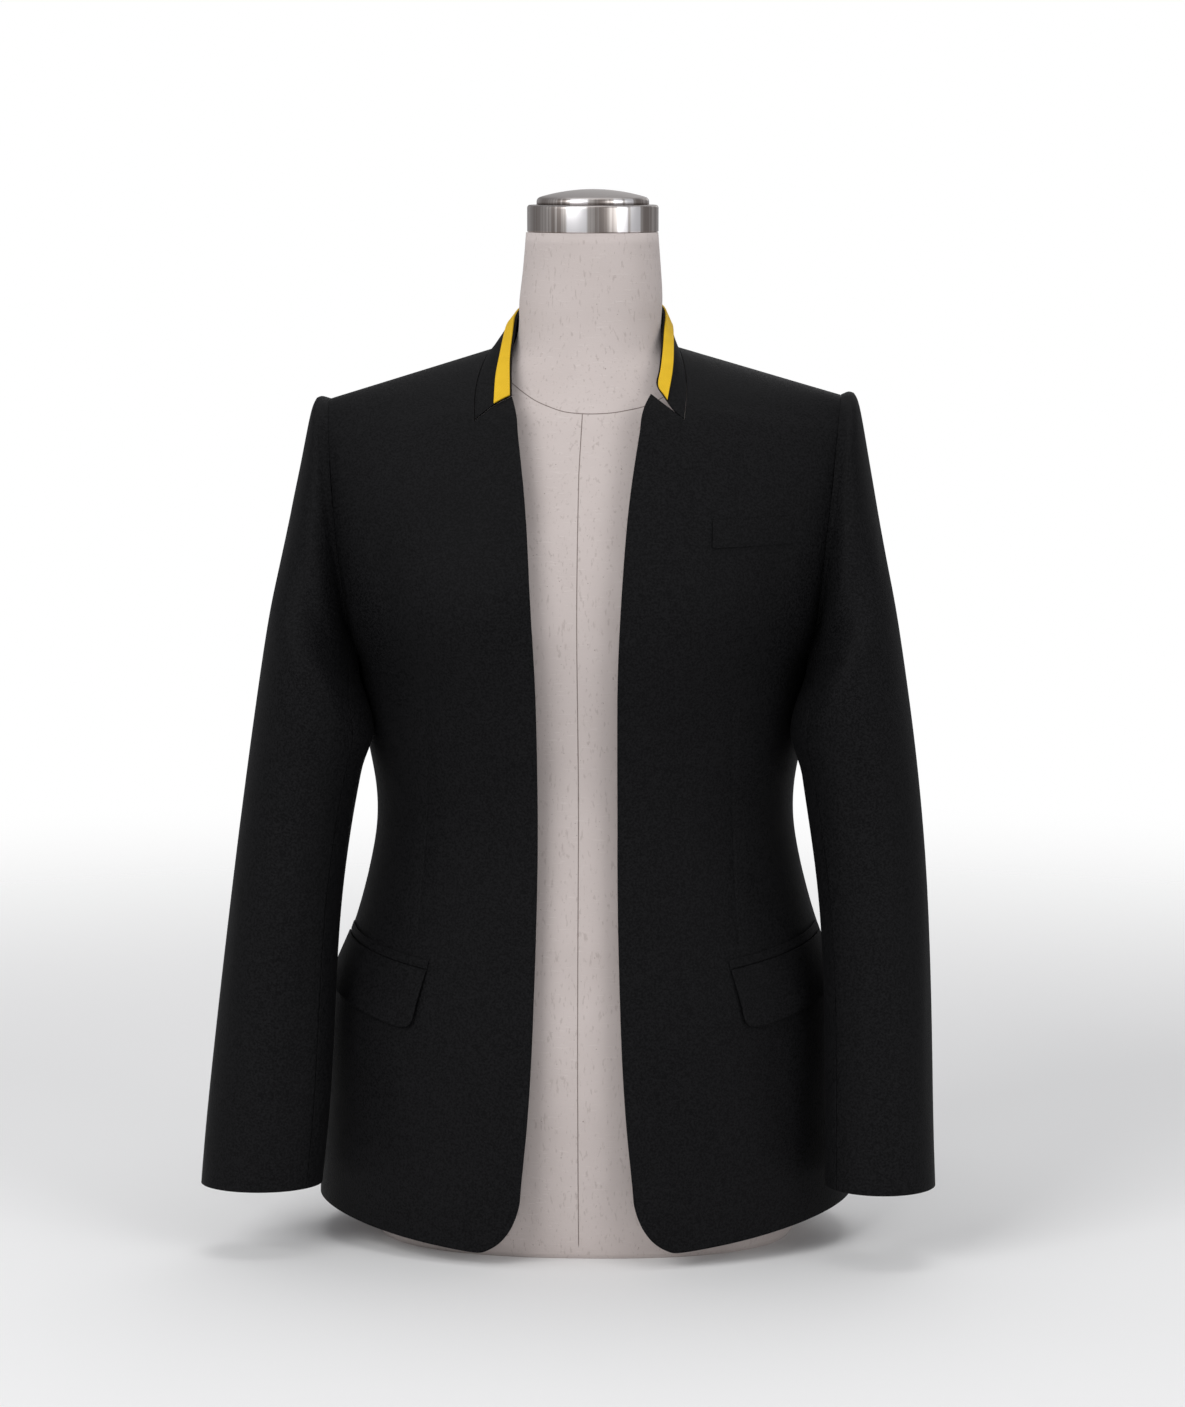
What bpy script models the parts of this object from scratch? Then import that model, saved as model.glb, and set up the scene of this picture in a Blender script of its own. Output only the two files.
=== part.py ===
"""Collarless blazer worn open on a limbless dress form.

Metres, +Z up. The front looks towards -Y and the wearer's left is at +X. The form stands on its
flat underside at Z = 0, with the origin in the middle of that face.

The blazer's body is one smooth surface, body_point(u, v). u runs from the centre line (0) round to
the side seam or armhole (1). v runs up the front from the hem (0) to the shoulder seam (1), and on
down the back to the hem (2). Each cut piece is a wall over its own patch of that surface.
"""

import math

import bpy
import bmesh
import numpy as np

# ---------------------------------------------------------------- driving dimensions, metres
CLOTH = 0.0020              # wall of the fused suiting
TRIM = 0.0012               # wall of the pocket pieces and of the yellow strip
BAND = 0.0015               # wall of the collar band
SEAM = 0.0003               # gap between two sewn pieces

SHOULDER_END = (0.1955, 0.651)      # x, z of the top of the armhole
UNDERARM = (0.1755, 0.451)          # x, z of the bottom of the armhole
ARMHOLE_DEPTH = 0.062               # half of the armhole, front to back

BUST_AT = (0.088, 0.492)            # x, z of the fullest point of the bust
BUST_RISE = 0.012
BUST_SPREAD = 0.058

NECK_POINT_X = 0.0705               # where the neckline meets the shoulder seam
NECK_SHIFT = 0.0055                 # the form's neck stands this far towards the wearer's left
NECK_SHIFT_RISE = (0.60, 0.15)      # height where that lean starts, and the rise it takes
WORN_TILT = 0.010                   # the blazer rides higher on the wearer's left, rise per metre
NECK_Y = 0.012
NECK_TOP = 0.776

# Rings of the body below the armhole. The side point is shared by front and back.
# name, side x, side z, then for front and for back: middle z, middle y, pull at the middle,
# pull at the side. A pull is the length of the curve's handle there.
BODY_RINGS = (
    ("hem",      0.2080, 0.031, (0.0085, -0.136, 0.114, 0.074), (0.031, 0.134, 0.124, 0.080)),
    ("low hip",  0.2060, 0.105, (0.100, -0.135, 0.114, 0.073), (0.105, 0.131, 0.122, 0.078)),
    ("hip",      0.1985, 0.190, (0.190, -0.132, 0.110, 0.071), (0.190, 0.124, 0.116, 0.074)),
    ("high hip", 0.1742, 0.262, (0.262, -0.125, 0.099, 0.067), (0.262, 0.108, 0.102, 0.064)),
    ("waist",    0.1609, 0.337, (0.337, -0.118, 0.092, 0.064), (0.337, 0.093, 0.092, 0.056)),
    ("rib",      0.1695, 0.398, (0.404, -0.127, 0.096, 0.068), (0.400, 0.100, 0.096, 0.060)),
    ("underarm", 0.1755, 0.451, (0.468, -0.138, 0.100, 0.074), (0.451, 0.108, 0.102, 0.066)),
)

# Rings from the armhole to the shoulder. The angle round the armhole starts at its top.
# name, angle, then for front and for back: middle z, middle y, pull at the middle, pull at the
# side, turn (direction of arrival, 90 = straight backwards), fall (1 = straight, 2 = round)
ARMHOLE_RINGS = (
    ("low armhole",  150, (0.510, -0.139, 0.100, 0.060, 82, 2.0), (0.497, 0.113, 0.104, 0.058, 82, 2.0)),
    ("blade",        120, (0.550, -0.132, 0.096, 0.052, 70, 2.0), (0.542, 0.115, 0.106, 0.052, 70, 2.0)),
    ("chest",         90, (0.588, -0.120, 0.088, 0.048, 58, 2.0), (0.591, 0.111, 0.100, 0.046, 58, 2.0)),
    ("upper chest",   60, (0.624, -0.103, 0.080, 0.045, 44, 1.8), (0.640, 0.099, 0.086, 0.044, 44, 1.8)),
    ("collar bone",   30, (0.655, -0.083, 0.070, 0.048, 24, 1.4), (0.684, 0.078, 0.070, 0.048, 24, 1.4)),
    ("shoulder",       0, (0.7095, 0.004, 0.065, 0.065, 0, 1.0), None),
)

# ---------------------------------------------------------------- the front's outline, seen from ahead
# Half of the opening between the two fronts: height, half-width
FRONT_EDGE = (
    (0.064, 0.0420),
    (0.110, 0.0375),
    (0.150, 0.0347),
    (0.210, 0.0322),
    (0.330, 0.0299),
    (0.435, 0.0304),
    (0.510, 0.0336),
    (0.582, 0.0389),
    (0.639, 0.0465),
)
HEM_CORNER = (0.0785, 0.064)        # x, z of the middle of the round at the hem
HEM_CORNER_SIZE = (0.0365, 0.0525)
GORGE_CORNER = (0.0785, 0.6385)     # x, z where the notch meets the collar seam
PEAK_CLOSED = (0.0510, 0.6560)      # top of the front at the closed notch (wearer's right)
PEAK_OPEN = (0.0528, 0.6573)        # top of the front at the open notch (wearer's left)
GORGE_BOW = 0.0018                  # the closed notch's edge bows up by this much
NOTCH_LEVEL = (0.6220, 0.865)       # z on the front edge and v on the armhole, level with the corner
NECK_BOW = 0.026                    # the front neckline bows outwards by this share of u

# ---------------------------------------------------------------- sleeves
# Each ring is an oval across the arm. x and z of its outer and its inner point as seen from ahead,
# y of its middle, and its half-depth from front to back.
SLEEVE_RINGS = {
    "right": (
        ("crest",    0.2025, 0.6530, 0.1768, 0.4500, -0.001, 0.0640),
        ("head",     0.2085, 0.6450, 0.1767, 0.4465, -0.005, 0.0655),
        ("cap",      0.2163, 0.6050, 0.1758, 0.4420, -0.013, 0.0665),
        ("low cap",  0.2272, 0.5500, 0.1737, 0.4340, -0.023, 0.0655),
        ("biceps",   0.2393, 0.4820, 0.1682, 0.4180, -0.048, 0.0620),
        ("arm",      0.2490, 0.4200, 0.1651, 0.3940, -0.050, 0.0585),
        ("elbow",    0.2586, 0.3540, 0.1738, 0.3440, -0.050, 0.0530),
        ("forearm",  0.2693, 0.2700, 0.1845, 0.2640, -0.057, 0.0470),
        ("wrist",    0.2800, 0.1740, 0.1893, 0.1720, -0.068, 0.0420),
        ("low wrist", 0.2868, 0.1060, 0.1930, 0.1050, -0.077, 0.0390),
        ("cuff",     0.2910, 0.0560, 0.1978, 0.0555, -0.082, 0.0370),
    ),
    "left": (
        ("crest",    0.2020, 0.6535, 0.1768, 0.4500, -0.001, 0.0640),
        ("head",     0.2088, 0.6460, 0.1767, 0.4465, -0.005, 0.0655),
        ("cap",      0.2168, 0.6050, 0.1758, 0.4420, -0.013, 0.0665),
        ("low cap",  0.2266, 0.5500, 0.1737, 0.4340, -0.023, 0.0655),
        ("biceps",   0.2396, 0.4820, 0.1682, 0.4180, -0.048, 0.0620),
        ("arm",      0.2490, 0.4200, 0.1648, 0.3940, -0.050, 0.0585),
        ("elbow",    0.2572, 0.3540, 0.1709, 0.3440, -0.051, 0.0530),
        ("forearm",  0.2640, 0.2700, 0.1816, 0.2640, -0.061, 0.0480),
        ("wrist",    0.2675, 0.1740, 0.1858, 0.1720, -0.076, 0.0440),
        ("low wrist", 0.2690, 0.1060, 0.1866, 0.1050, -0.086, 0.0415),
        ("cuff",     0.2708, 0.0565, 0.1868, 0.0575, -0.091, 0.0400),
    ),
}
FRONT_ARM_SEAM = 142                # angle from the top of the arm, towards the front
BACK_ARM_SEAM = -94                 # and towards the back

# ---------------------------------------------------------------- collar
# Upper edge of the band, from the centre back to the front tip: share of the way, x, y, z
COLLAR_EDGE = (
    (0.00, 0.0000, 0.0690, 0.7268),
    (0.25, 0.0400, 0.0540, 0.7252),
    (0.50, 0.0562, 0.0080, 0.7130),
    (0.75, 0.0562, -0.0340, 0.6885),
    (1.00, 0.0546, -0.0660, 0.6640),
)
COLLAR_SHIFT = (1.0, 0.4)           # share of the neck's shift that the edge takes, back and front
COLLAR_CROWN = 0.0012               # how far the band bows outwards
FITTED_FROM = 0.70                  # from here on the right end is drawn to the gorge
STRIP_GAP = 0.0004                  # between the band and the strip on it
NOTCH_GAP = 0.0008                  # between the band's right end and the gorge
LEFT_END_FILL = 0.030               # the left end bows forward by this share of the way round
STRIP_HEAD = 0.96                   # height of the strip's upper edge, as a share of the band
STRIP_ROWS = 2
# Lower edge of the strip: share of the way round the neck, height as a share of the band
STRIP_FOOT = (
    (-1.00, 0.51),
    (-0.85, 0.58),
    (-0.70, 0.65),
    (-0.50, 0.65),
    (0.00, 0.57),
    (0.50, 0.52),
    (0.70, 0.55),
    (0.85, 0.58),
    (1.00, 0.62),
)

# ---------------------------------------------------------------- pockets, x and z seen from ahead
FLAP_TOP_FRONT = (0.1144, 0.2245)
FLAP_REAR_U = 0.93                  # the rear end, round the side
FLAP_REAR_RISE = 0.015
FLAP_DROP = (0.0465, 0.0370)        # at the front end and at the rear
FLAP_LEAN = 0.0115                  # the front end slopes back by this much
FLAP_LIFT = 0.0022                  # the lower edge stands off the cloth
FLAP_CORNER_CUT = 0.5               # the lower front corner is drawn in by this share of a cell
JET_HEIGHT = 0.0066
PATCH_GAP = 0.0009                  # pocket pieces stand this far off the faceted cloth
WELT_GAP = 0.0006
WELT_LOW_INNER = (0.1000, 0.5452)
WELT_SIZE = (0.0580, 0.0205)
WELT_RISE = 0.0005

# ---------------------------------------------------------------- dress form
# height, half-width, front y, back y, roundness of the plan (2 = oval, less = pointed at the sides)
FORM_RINGS = (
    (0.000, 0.160, -0.098, 0.100, 2.3),
    (0.004, 0.163, -0.101, 0.103, 2.3),
    (0.090, 0.174, -0.112, 0.115, 2.3),
    (0.170, 0.174, -0.115, 0.114, 2.3),
    (0.250, 0.158, -0.110, 0.098, 2.25),
    (0.337, 0.142, -0.101, 0.080, 2.2),
    (0.400, 0.147, -0.108, 0.086, 2.25),
    (0.450, 0.155, -0.119, 0.093, 2.25),
    (0.490, 0.160, -0.124, 0.097, 2.2),
    (0.535, 0.164, -0.118, 0.099, 2.1),
    (0.575, 0.167, -0.104, 0.097, 2.0),
    (0.605, 0.167, -0.090, 0.091, 1.85),
    (0.628, 0.164, -0.078, 0.084, 1.7),
    (0.643, 0.152, -0.070, 0.078, 1.6),
    (0.655, 0.130, -0.063, 0.073, 1.55),
    (0.665, 0.104, -0.057, 0.069, 1.6),
    (0.674, 0.081, -0.052, 0.067, 1.75),
    (0.684, 0.0632, -0.047, 0.065, 1.9),
    (0.696, 0.0558, -0.0438, 0.064, 2.0),
    (0.709, 0.0542, -0.0420, 0.063, 2.0),
    (0.724, 0.0546, -0.0410, 0.0627, 2.0),
    (0.745, 0.0529, -0.0400, 0.0627, 2.0),
    (0.776, 0.0504, -0.0388, 0.0628, 2.0),
)
FORM_SIDES = 40
CAP_BAND = (0.0502, 0.0204)         # radius, height of the lower tier
CAP_TOP = (0.0430, 0.0058)          # radius, height of the upper tier
CAP_CROWN = 0.0058
CAP_EDGE = 0.0012                   # bevel of the lower tier
DISC_ROUND = 0.0040                 # radius of the upper tier's edge
DISC_ROUND_STEPS = (13, 40, 65, 90)  # degrees from straight up

# ---------------------------------------------------------------- how finely the pieces are cut
SHOULDER_COLUMNS = 9                # cells along a shoulder seam
GORGE_COLUMNS = 4                   # cells from the front edge to the notch corner
NECK_ROWS = 6                       # cells along half of the front neckline, and of the back one
NOTCH_ROWS = 3                      # cells up the corner of the front above the notch's level
FRONT_ROWS = 19                     # cells up the front edge below that
BACK_ROWS = 20
SIDE_SHARES = (0.68, 0.58)          # share of a front's and of a back's rows that lie on the side seam
FLAP_CELLS = (8, 5)                 # columns, rows
WELT_CELLS = (6, 2)
TOP_SLEEVE_SIDES = 16
UNDER_SLEEVE_SIDES = 8
FINE_SLEEVE_RINGS = 5               # down to this ring there is a row half-way between rings
COLLAR_ROWS = 4

COLLECTION = "blazer_on_form"
BLACK_CLOTH = ("black_suiting", (0.0095, 0.0095, 0.0105, 1.0), 0.62, 0.0)
YELLOW_CLOTH = ("yellow_ribbon", (0.775, 0.490, 0.020, 1.0), 0.60, 0.0)
LINEN = ("linen_cover", (0.520, 0.475, 0.445, 1.0), 0.85, 0.0)
STEEL = ("brushed_steel", (0.480, 0.465, 0.450, 1.0), 0.32, 1.0)


# ---------------------------------------------------------------- curves
def slopes(knots, values):
    """Slope at each knot of a curve that never swings past its points."""
    steps = np.diff(values, axis=0) / np.diff(knots)[:, None]
    before, after = steps[:-1], steps[1:]
    gaps = np.diff(knots)[:, None]
    middle = (before * gaps[1:] + after * gaps[:-1]) / (gaps[1:] + gaps[:-1])
    limit = 3.0 * np.minimum(np.abs(before), np.abs(after))
    middle = np.where(before * after > 0.0, np.clip(middle, -limit, limit), 0.0)
    return np.vstack([steps[:1], middle, steps[-1:]])


def along(knots, values, at):
    """Point of the smooth curve through the rows of values, at one parameter."""
    grades = slopes(knots, values)
    k = int(np.clip(np.searchsorted(knots, at) - 1, 0, len(knots) - 2))
    span = knots[k + 1] - knots[k]
    t = (at - knots[k]) / span
    return ((2 * t**3 - 3 * t**2 + 1) * values[k] + (t**3 - 2 * t**2 + t) * span * grades[k]
            + (3 * t**2 - 2 * t**3) * values[k + 1] + (t**3 - t**2) * span * grades[k + 1])


def table_curve(rows):
    """A table whose first column is the parameter, as a function of that parameter."""
    knots = np.array([row[0] for row in rows])
    values = np.array([row[1:] for row in rows])
    return lambda at: along(knots, values, at)


def oval(outer, inner, y, half_depth, angle):
    """Point of an oval that has outer and inner (x, z) as its ends. Positive angles face front."""
    a = math.radians(angle)
    share = 0.5 + 0.5 * math.cos(a)
    x = inner[0] + (outer[0] - inner[0]) * share
    z = inner[1] + (outer[1] - inner[1]) * share
    return np.array([x, y - half_depth * math.sin(a), z])


# ---------------------------------------------------------------- the blazer's body surface
def ring_columns():
    """Every ring from the front hem over the shoulder to the back hem, as columns of numbers."""
    front, back = [], []
    for _, side_x, side_z, ahead, behind in BODY_RINGS:
        for rows, (z, y, mid_pull, side_pull), sign in ((front, ahead, -1), (back, behind, 1)):
            handle = (side_x, sign * side_pull)
            rows.append((z, y, mid_pull, side_x, 0.0, side_z, *handle, 2.0))
    for _, angle, ahead, behind in ARMHOLE_RINGS:
        for rows, half, sign in ((front, ahead, -1), (back, behind, 1)):
            if half is None:
                continue
            z, y, mid_pull, side_pull, turn, fall = half
            x, side_y, side_z = oval(SHOULDER_END, UNDERARM, 0.0, ARMHOLE_DEPTH, -sign * angle)
            handle = (x - side_pull * math.cos(math.radians(turn)),
                      side_y + sign * side_pull * math.sin(math.radians(turn)))
            rows.append((z, y, mid_pull, x, side_y, side_z, *handle, fall))
    return np.array(front + back[::-1]).T


RINGS = ring_columns()
MIDDLE = np.stack([0.0 * RINGS[0], RINGS[1], RINGS[0]], axis=1)
SIDE = RINGS[3:6].T
SPACING = np.linalg.norm(np.diff(MIDDLE, axis=0), axis=1) + np.linalg.norm(np.diff(SIDE, axis=0), axis=1)
TRAVEL = np.concatenate([[0.0], np.cumsum(SPACING)])
TOP_RING = len(BODY_RINGS) + len(ARMHOLE_RINGS) - 1
KNOTS = np.where(np.arange(len(TRAVEL)) <= TOP_RING, TRAVEL / TRAVEL[TOP_RING],
                 1.0 + (TRAVEL - TRAVEL[TOP_RING]) / (TRAVEL[-1] - TRAVEL[TOP_RING]))
FRONT_UNDERARM = KNOTS[len(BODY_RINGS) - 1]
BACK_UNDERARM = KNOTS[-len(BODY_RINGS)]


def body_point(u, v):
    """Outer face of the blazer's body on the wearer's left."""
    mid_z, mid_y, mid_pull, side_x, side_y, side_z, handle_x, handle_y, fall = RINGS
    w = 1.0 - u
    x = 3 * w * w * u * mid_pull + 3 * w * u * u * handle_x + u**3 * side_x
    y = (w**3 + 3 * w * w * u) * mid_y + 3 * w * u * u * handle_y + u**3 * side_y
    z = mid_z + (side_z - mid_z) * np.clip(x / side_x, 0.0, None) ** fall
    point = along(KNOTS, np.stack([x, y, z], axis=1), v)
    if v < 1.0:
        away = ((point[0] - BUST_AT[0]) ** 2 + (point[2] - BUST_AT[1]) ** 2) / BUST_SPREAD**2
        point[1] -= BUST_RISE * math.exp(-away)
    return point


def outward(surface, a, b, step=1e-3):
    """Unit vector square to a surface, from its slopes in both directions."""
    across = surface(a + step, b) - surface(a - step, b)
    up = surface(a, b + step) - surface(a, b - step)
    normal = np.cross(across, up)
    return normal / np.linalg.norm(normal)


def locate(x, z, guess=(0.5, 0.5)):
    """The (u, v) of the front at a given x and z."""
    u, v = guess
    for _ in range(40):
        here = body_point(u, v)
        error = np.array([x - here[0], z - here[2]])
        if np.abs(error).max() < 1e-7:
            break
        by_u = (body_point(u + 1e-4, v) - here) / 1e-4
        by_v = (body_point(u, v + 1e-4) - here) / 1e-4
        slope = np.array([[by_u[0], by_v[0]], [by_u[2], by_v[2]]])
        move = np.linalg.solve(slope, error)
        move *= min(1.0, 0.15 / max(1e-9, np.abs(move).max()))
        u, v = u + move[0], v + move[1]
    return np.array([u, v])


def height_at(u, z, guess):
    """The v of the front at a given u and height."""
    v = guess
    for _ in range(40):
        here = body_point(u, v)[2]
        if abs(z - here) < 1e-7:
            break
        slope = (body_point(u, v + 1e-4)[2] - here) / 1e-4
        v += float(np.clip((z - here) / slope, -0.1, 0.1))
    return v


# ---------------------------------------------------------------- outlines of the cut pieces, in (u, v)
def chain(*runs):
    """Runs of (u, v) points joined end to end, each without the first point of the next."""
    joined = list(runs[0])
    for run in runs[1:]:
        joined.extend(run[1:])
    return np.array(joined)


def straight(start, end, count):
    """Evenly spaced points from start to end."""
    return np.linspace(start, end, count + 1)


def hem_round(angles):
    """Points of the round corner at the front hem, by angle from straight down."""
    found = []
    guess = (0.25, 0.05)
    for angle in angles:
        a = math.radians(angle)
        x = HEM_CORNER[0] - HEM_CORNER_SIZE[0] * math.sin(a)
        z = HEM_CORNER[1] - HEM_CORNER_SIZE[1] * math.cos(a)
        guess = locate(x, z, guess)
        found.append(guess)
    return np.array(found)


NECK_POINT = np.array([locate(NECK_POINT_X, 0.6885, (0.3, 1.0))[0], 1.0])


def gorge_line(peak, bow, count):
    """Top edge of a front, from its peak down to the notch corner, bowed up in the middle."""
    found = []
    guess = (0.3, 0.92)
    for t in np.linspace(0.0, 1.0, count + 1):
        x = peak[0] + (GORGE_CORNER[0] - peak[0]) * t
        z = peak[1] + (GORGE_CORNER[1] - peak[1]) * t + bow * math.sin(math.pi * t)
        guess = locate(x, z, guess)
        found.append(guess)
    return np.array(found)


def neck_seam(count):
    """Front neckline, from the notch corner up to the shoulder seam."""
    low = locate(*GORGE_CORNER, (0.35, 0.9))
    bow = np.array([NECK_BOW, 0.0])
    return np.array([low + (NECK_POINT - low) * t + bow * math.sin(math.pi * t)
                     for t in np.linspace(0.0, 1.0, count + 1)])


def back_neck(count):
    """Back neckline, from the centre back to the shoulder seam: a quarter of an oval."""
    low = KNOTS[TOP_RING + 1]
    return np.array([[NECK_POINT[0] * math.sin(a), 1.0 + (low - 1.0) * math.cos(a)]
                     for a in np.linspace(0.0, math.pi / 2, count + 1)])


def front_grids(peak, gorge_bow):
    """A front in three grids of (u, v): below the notch's level, beside the neck, and the peak."""
    edge_width = table_curve(FRONT_EDGE)
    rounded = hem_round([45, 60, 75, 90])
    edge = list(rounded)
    for z in np.linspace(FRONT_EDGE[0][0], NOTCH_LEVEL[0], FRONT_ROWS - 2)[1:]:
        edge.append(locate(edge_width(z)[0], z, edge[-1]))
    edge = np.array(edge)
    gorge = gorge_line(peak, gorge_bow, GORGE_COLUMNS + NOTCH_ROWS)
    corner = gorge[-1]
    arm_level = np.array([1.0, NOTCH_LEVEL[1]])

    low = hem_round([45, 30, 15, 0])
    low[-1][1] = 0.0
    bottom = chain(low, straight(low[-1], (1.0, 0.0), GORGE_COLUMNS + SHOULDER_COLUMNS - 3))
    level = chain(straight(edge[-1], corner, GORGE_COLUMNS), straight(corner, arm_level, SHOULDER_COLUMNS))
    side_rows = round(FRONT_ROWS * SIDE_SHARES[0])
    side = chain(straight((1.0, 0.0), (1.0, FRONT_UNDERARM), side_rows),
                 straight((1.0, FRONT_UNDERARM), arm_level, FRONT_ROWS - side_rows))
    body = fill(bottom, edge, level, side)

    shoulder = straight(NECK_POINT, (1.0, 1.0), SHOULDER_COLUMNS)
    beside_neck = fill(level[GORGE_COLUMNS:], neck_seam(NECK_ROWS), shoulder,
                       straight(arm_level, (1.0, 1.0), NECK_ROWS))

    upper_edge = [edge[-1]]
    for z in np.linspace(NOTCH_LEVEL[0], peak[1], NOTCH_ROWS + 1)[1:-1]:
        upper_edge.append(locate(edge_width(z)[0], z, upper_edge[-1]))
    upper_edge = np.array([*upper_edge, gorge[0]])
    notch_side = gorge[GORGE_COLUMNS:][::-1]
    tip = fill(level[:GORGE_COLUMNS + 1], upper_edge, gorge[:GORGE_COLUMNS + 1], notch_side)
    return body, beside_neck, tip


def back_grid():
    """A back as one grid of (u, v), from the hem to the neckline and shoulder seam."""
    columns = NECK_ROWS + SHOULDER_COLUMNS
    top = chain(back_neck(NECK_ROWS), straight(NECK_POINT, (1.0, 1.0), SHOULDER_COLUMNS))
    centre = straight((0.0, 2.0), (0.0, KNOTS[TOP_RING + 1]), BACK_ROWS)
    bottom = straight((0.0, 2.0), (1.0, 2.0), columns)
    side_rows = round(BACK_ROWS * SIDE_SHARES[1])
    side = chain(straight((1.0, 2.0), (1.0, BACK_UNDERARM), side_rows),
                 straight((1.0, BACK_UNDERARM), (1.0, 1.0), BACK_ROWS - side_rows))
    return fill(bottom, centre, top, side)


def fill(bottom, left, top, right):
    """Grid of (u, v) between four sides (a Coons patch)."""
    columns, rows = len(bottom), len(left)
    grid = np.zeros((rows, columns, 2))
    for j in range(rows):
        w = j / (rows - 1)
        for i in range(columns):
            t = i / (columns - 1)
            ruled = (1 - w) * bottom[i] + w * top[i] + (1 - t) * left[j] + t * right[j]
            corners = ((1 - t) * (1 - w) * bottom[0] + t * (1 - w) * bottom[-1]
                       + (1 - t) * w * top[0] + t * w * top[-1])
            grid[j, i] = ruled - corners
    return grid


# ---------------------------------------------------------------- walls
def join_grids(*grids):
    """Grids that meet along shared points, as one patch: its points, and its faces by number."""
    points, numbers, faces = [], {}, []
    for grid in grids:
        rows, columns = grid.shape[:2]
        index = np.zeros((rows, columns), dtype=int)
        for j, i in np.ndindex(rows, columns):
            key = tuple(np.round(grid[j, i], 6))
            if key not in numbers:
                numbers[key] = len(points)
                points.append(grid[j, i])
            index[j, i] = numbers[key]
        faces += [(index[j, i], index[j, i + 1], index[j + 1, i + 1], index[j + 1, i])
                  for j, i in np.ndindex(rows - 1, columns - 1)]
    return np.array(points), faces


def rim_edges(faces):
    """The edges that only one face has, each run so that its face lies to the left."""
    edges = {(face[k], face[(k + 1) % 4]) for face in faces for k in range(4)}
    return sorted(edge for edge in edges if edge[::-1] not in edges)


def inset(points, normals, faces, amount):
    """Draw the rim of a patch in by an amount, square to its edges, along the surface."""
    before, after = np.zeros_like(points), np.zeros_like(points)
    for start, end in rim_edges(faces):
        run = points[end] - points[start]
        for turns, corner in ((after, start), (before, end)):
            turn = np.cross(normals[corner], run)
            turns[corner] = turn / np.linalg.norm(turn)
    return points + amount * (before + after) / (1.0 + np.sum(before * after, axis=1))[:, None]


def wall(name, points, normals, faces, thickness, material, side=1, lift=0.0, trim=SEAM / 2):
    """Closed wall under a patch of outer points: outer face, inner face and rim.

    Every face is split along the same diagonal as the one it lies against on the next piece.
    """
    mirror = np.array([side, 1.0, 1.0])
    lift = np.asarray(lift)[..., None]
    points = inset(points, normals, faces, trim)
    outer = (points + normals * lift) * mirror
    inner = (points + normals * (lift - thickness)) * mirror
    for skin in (outer, inner):
        skin[:, 2] += WORN_TILT * skin[:, 0]
    mesh = bmesh.new()
    out, back = ([mesh.verts.new(p) for p in skin] for skin in (outer, inner))
    loops = [[out[k] for k in face] for face in faces]
    loops += [[back[a], back[d], back[c], back[b]] for a, b, c, d in faces]
    for start, end in rim_edges(faces):
        rim = [out[end], out[start], back[start], back[end]]
        loops.append(rim if outer[end][2] >= outer[start][2] else rim[1:] + rim[:1])
    for loop in loops:
        mesh.faces.new(loop if side > 0 else loop[:1] + loop[:0:-1])
    bmesh.ops.triangulate(mesh, faces=mesh.faces, quad_method="FIXED")
    return add_object(name, mesh, material)


def add_object(name, mesh, material):
    """Put a finished mesh in the collection, shaded smooth with its edges kept sharp."""
    data = bpy.data.meshes.new(name)
    mesh.to_mesh(data)
    mesh.free()
    data.materials.append(material)
    data.shade_smooth()
    data.set_sharp_from_angle(angle=math.radians(40))
    thing = bpy.data.objects.new(name, data)
    bpy.data.collections[COLLECTION].objects.link(thing)
    return thing


def make_material(name, colour, roughness, metallic):
    material = bpy.data.materials.new(name)
    material.use_nodes = True
    shader = material.node_tree.nodes["Principled BSDF"]
    shader.inputs["Base Color"].default_value = colour
    shader.inputs["Roughness"].default_value = roughness
    shader.inputs["Metallic"].default_value = metallic
    return material


# ---------------------------------------------------------------- body panels
def body_patch(*grids):
    """Points, unit normals and faces of a patch of the blazer's body."""
    places, faces = join_grids(*grids)
    points = np.array([body_point(u, v) for u, v in places])
    normals = np.array([outward(body_point, u, v) for u, v in places])
    return points, normals, faces


def make_fronts(material):
    """The two fronts. The wearer's right closes against the collar, the left leaves a notch."""
    fronts = (("front_right", -1, PEAK_CLOSED, GORGE_BOW), ("front_left", 1, PEAK_OPEN, 0.0))
    for name, side, peak, bow in fronts:
        wall(name, *body_patch(*front_grids(peak, bow)), CLOTH, material, side)


def make_backs(material):
    """The two backs, joined by the centre back seam."""
    points, normals, faces = body_patch(back_grid()[:, ::-1])
    at_centre = points[:, 0] < 1e-6
    normals[at_centre, 0] = 0.0
    normals /= np.linalg.norm(normals, axis=1)[:, None]
    for name, side in (("back_right", -1), ("back_left", 1)):
        wall(name, points, normals, faces, CLOTH, material, side)


# ---------------------------------------------------------------- sleeves
def armhole_point(angle):
    """The armhole's edge on the body, by angle from its top. Positive angles face front."""
    share = abs(angle) / 180.0
    angles = [row[1] for row in ARMHOLE_RINGS[::-1]] + [180]
    front = [KNOTS[TOP_RING - k] for k in range(len(angles))]
    back = [KNOTS[TOP_RING + k] for k in range(len(angles))]
    v = np.interp(share * 180.0, angles, front if angle >= 0 else back)
    return body_point(1.0, v)


def sleeve_surface(rings):
    """Sleeve as a function of the angle round the arm and the way down it, in rings."""
    stations = np.arange(len(rings) + 1, dtype=float)

    def surface(angle, way):
        ovals = [oval((ox, oz), (ix, iz), y, depth, angle) for _, ox, oz, ix, iz, y, depth in rings]
        return along(stations, np.array([armhole_point(angle), *ovals]), way)

    return surface


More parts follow.
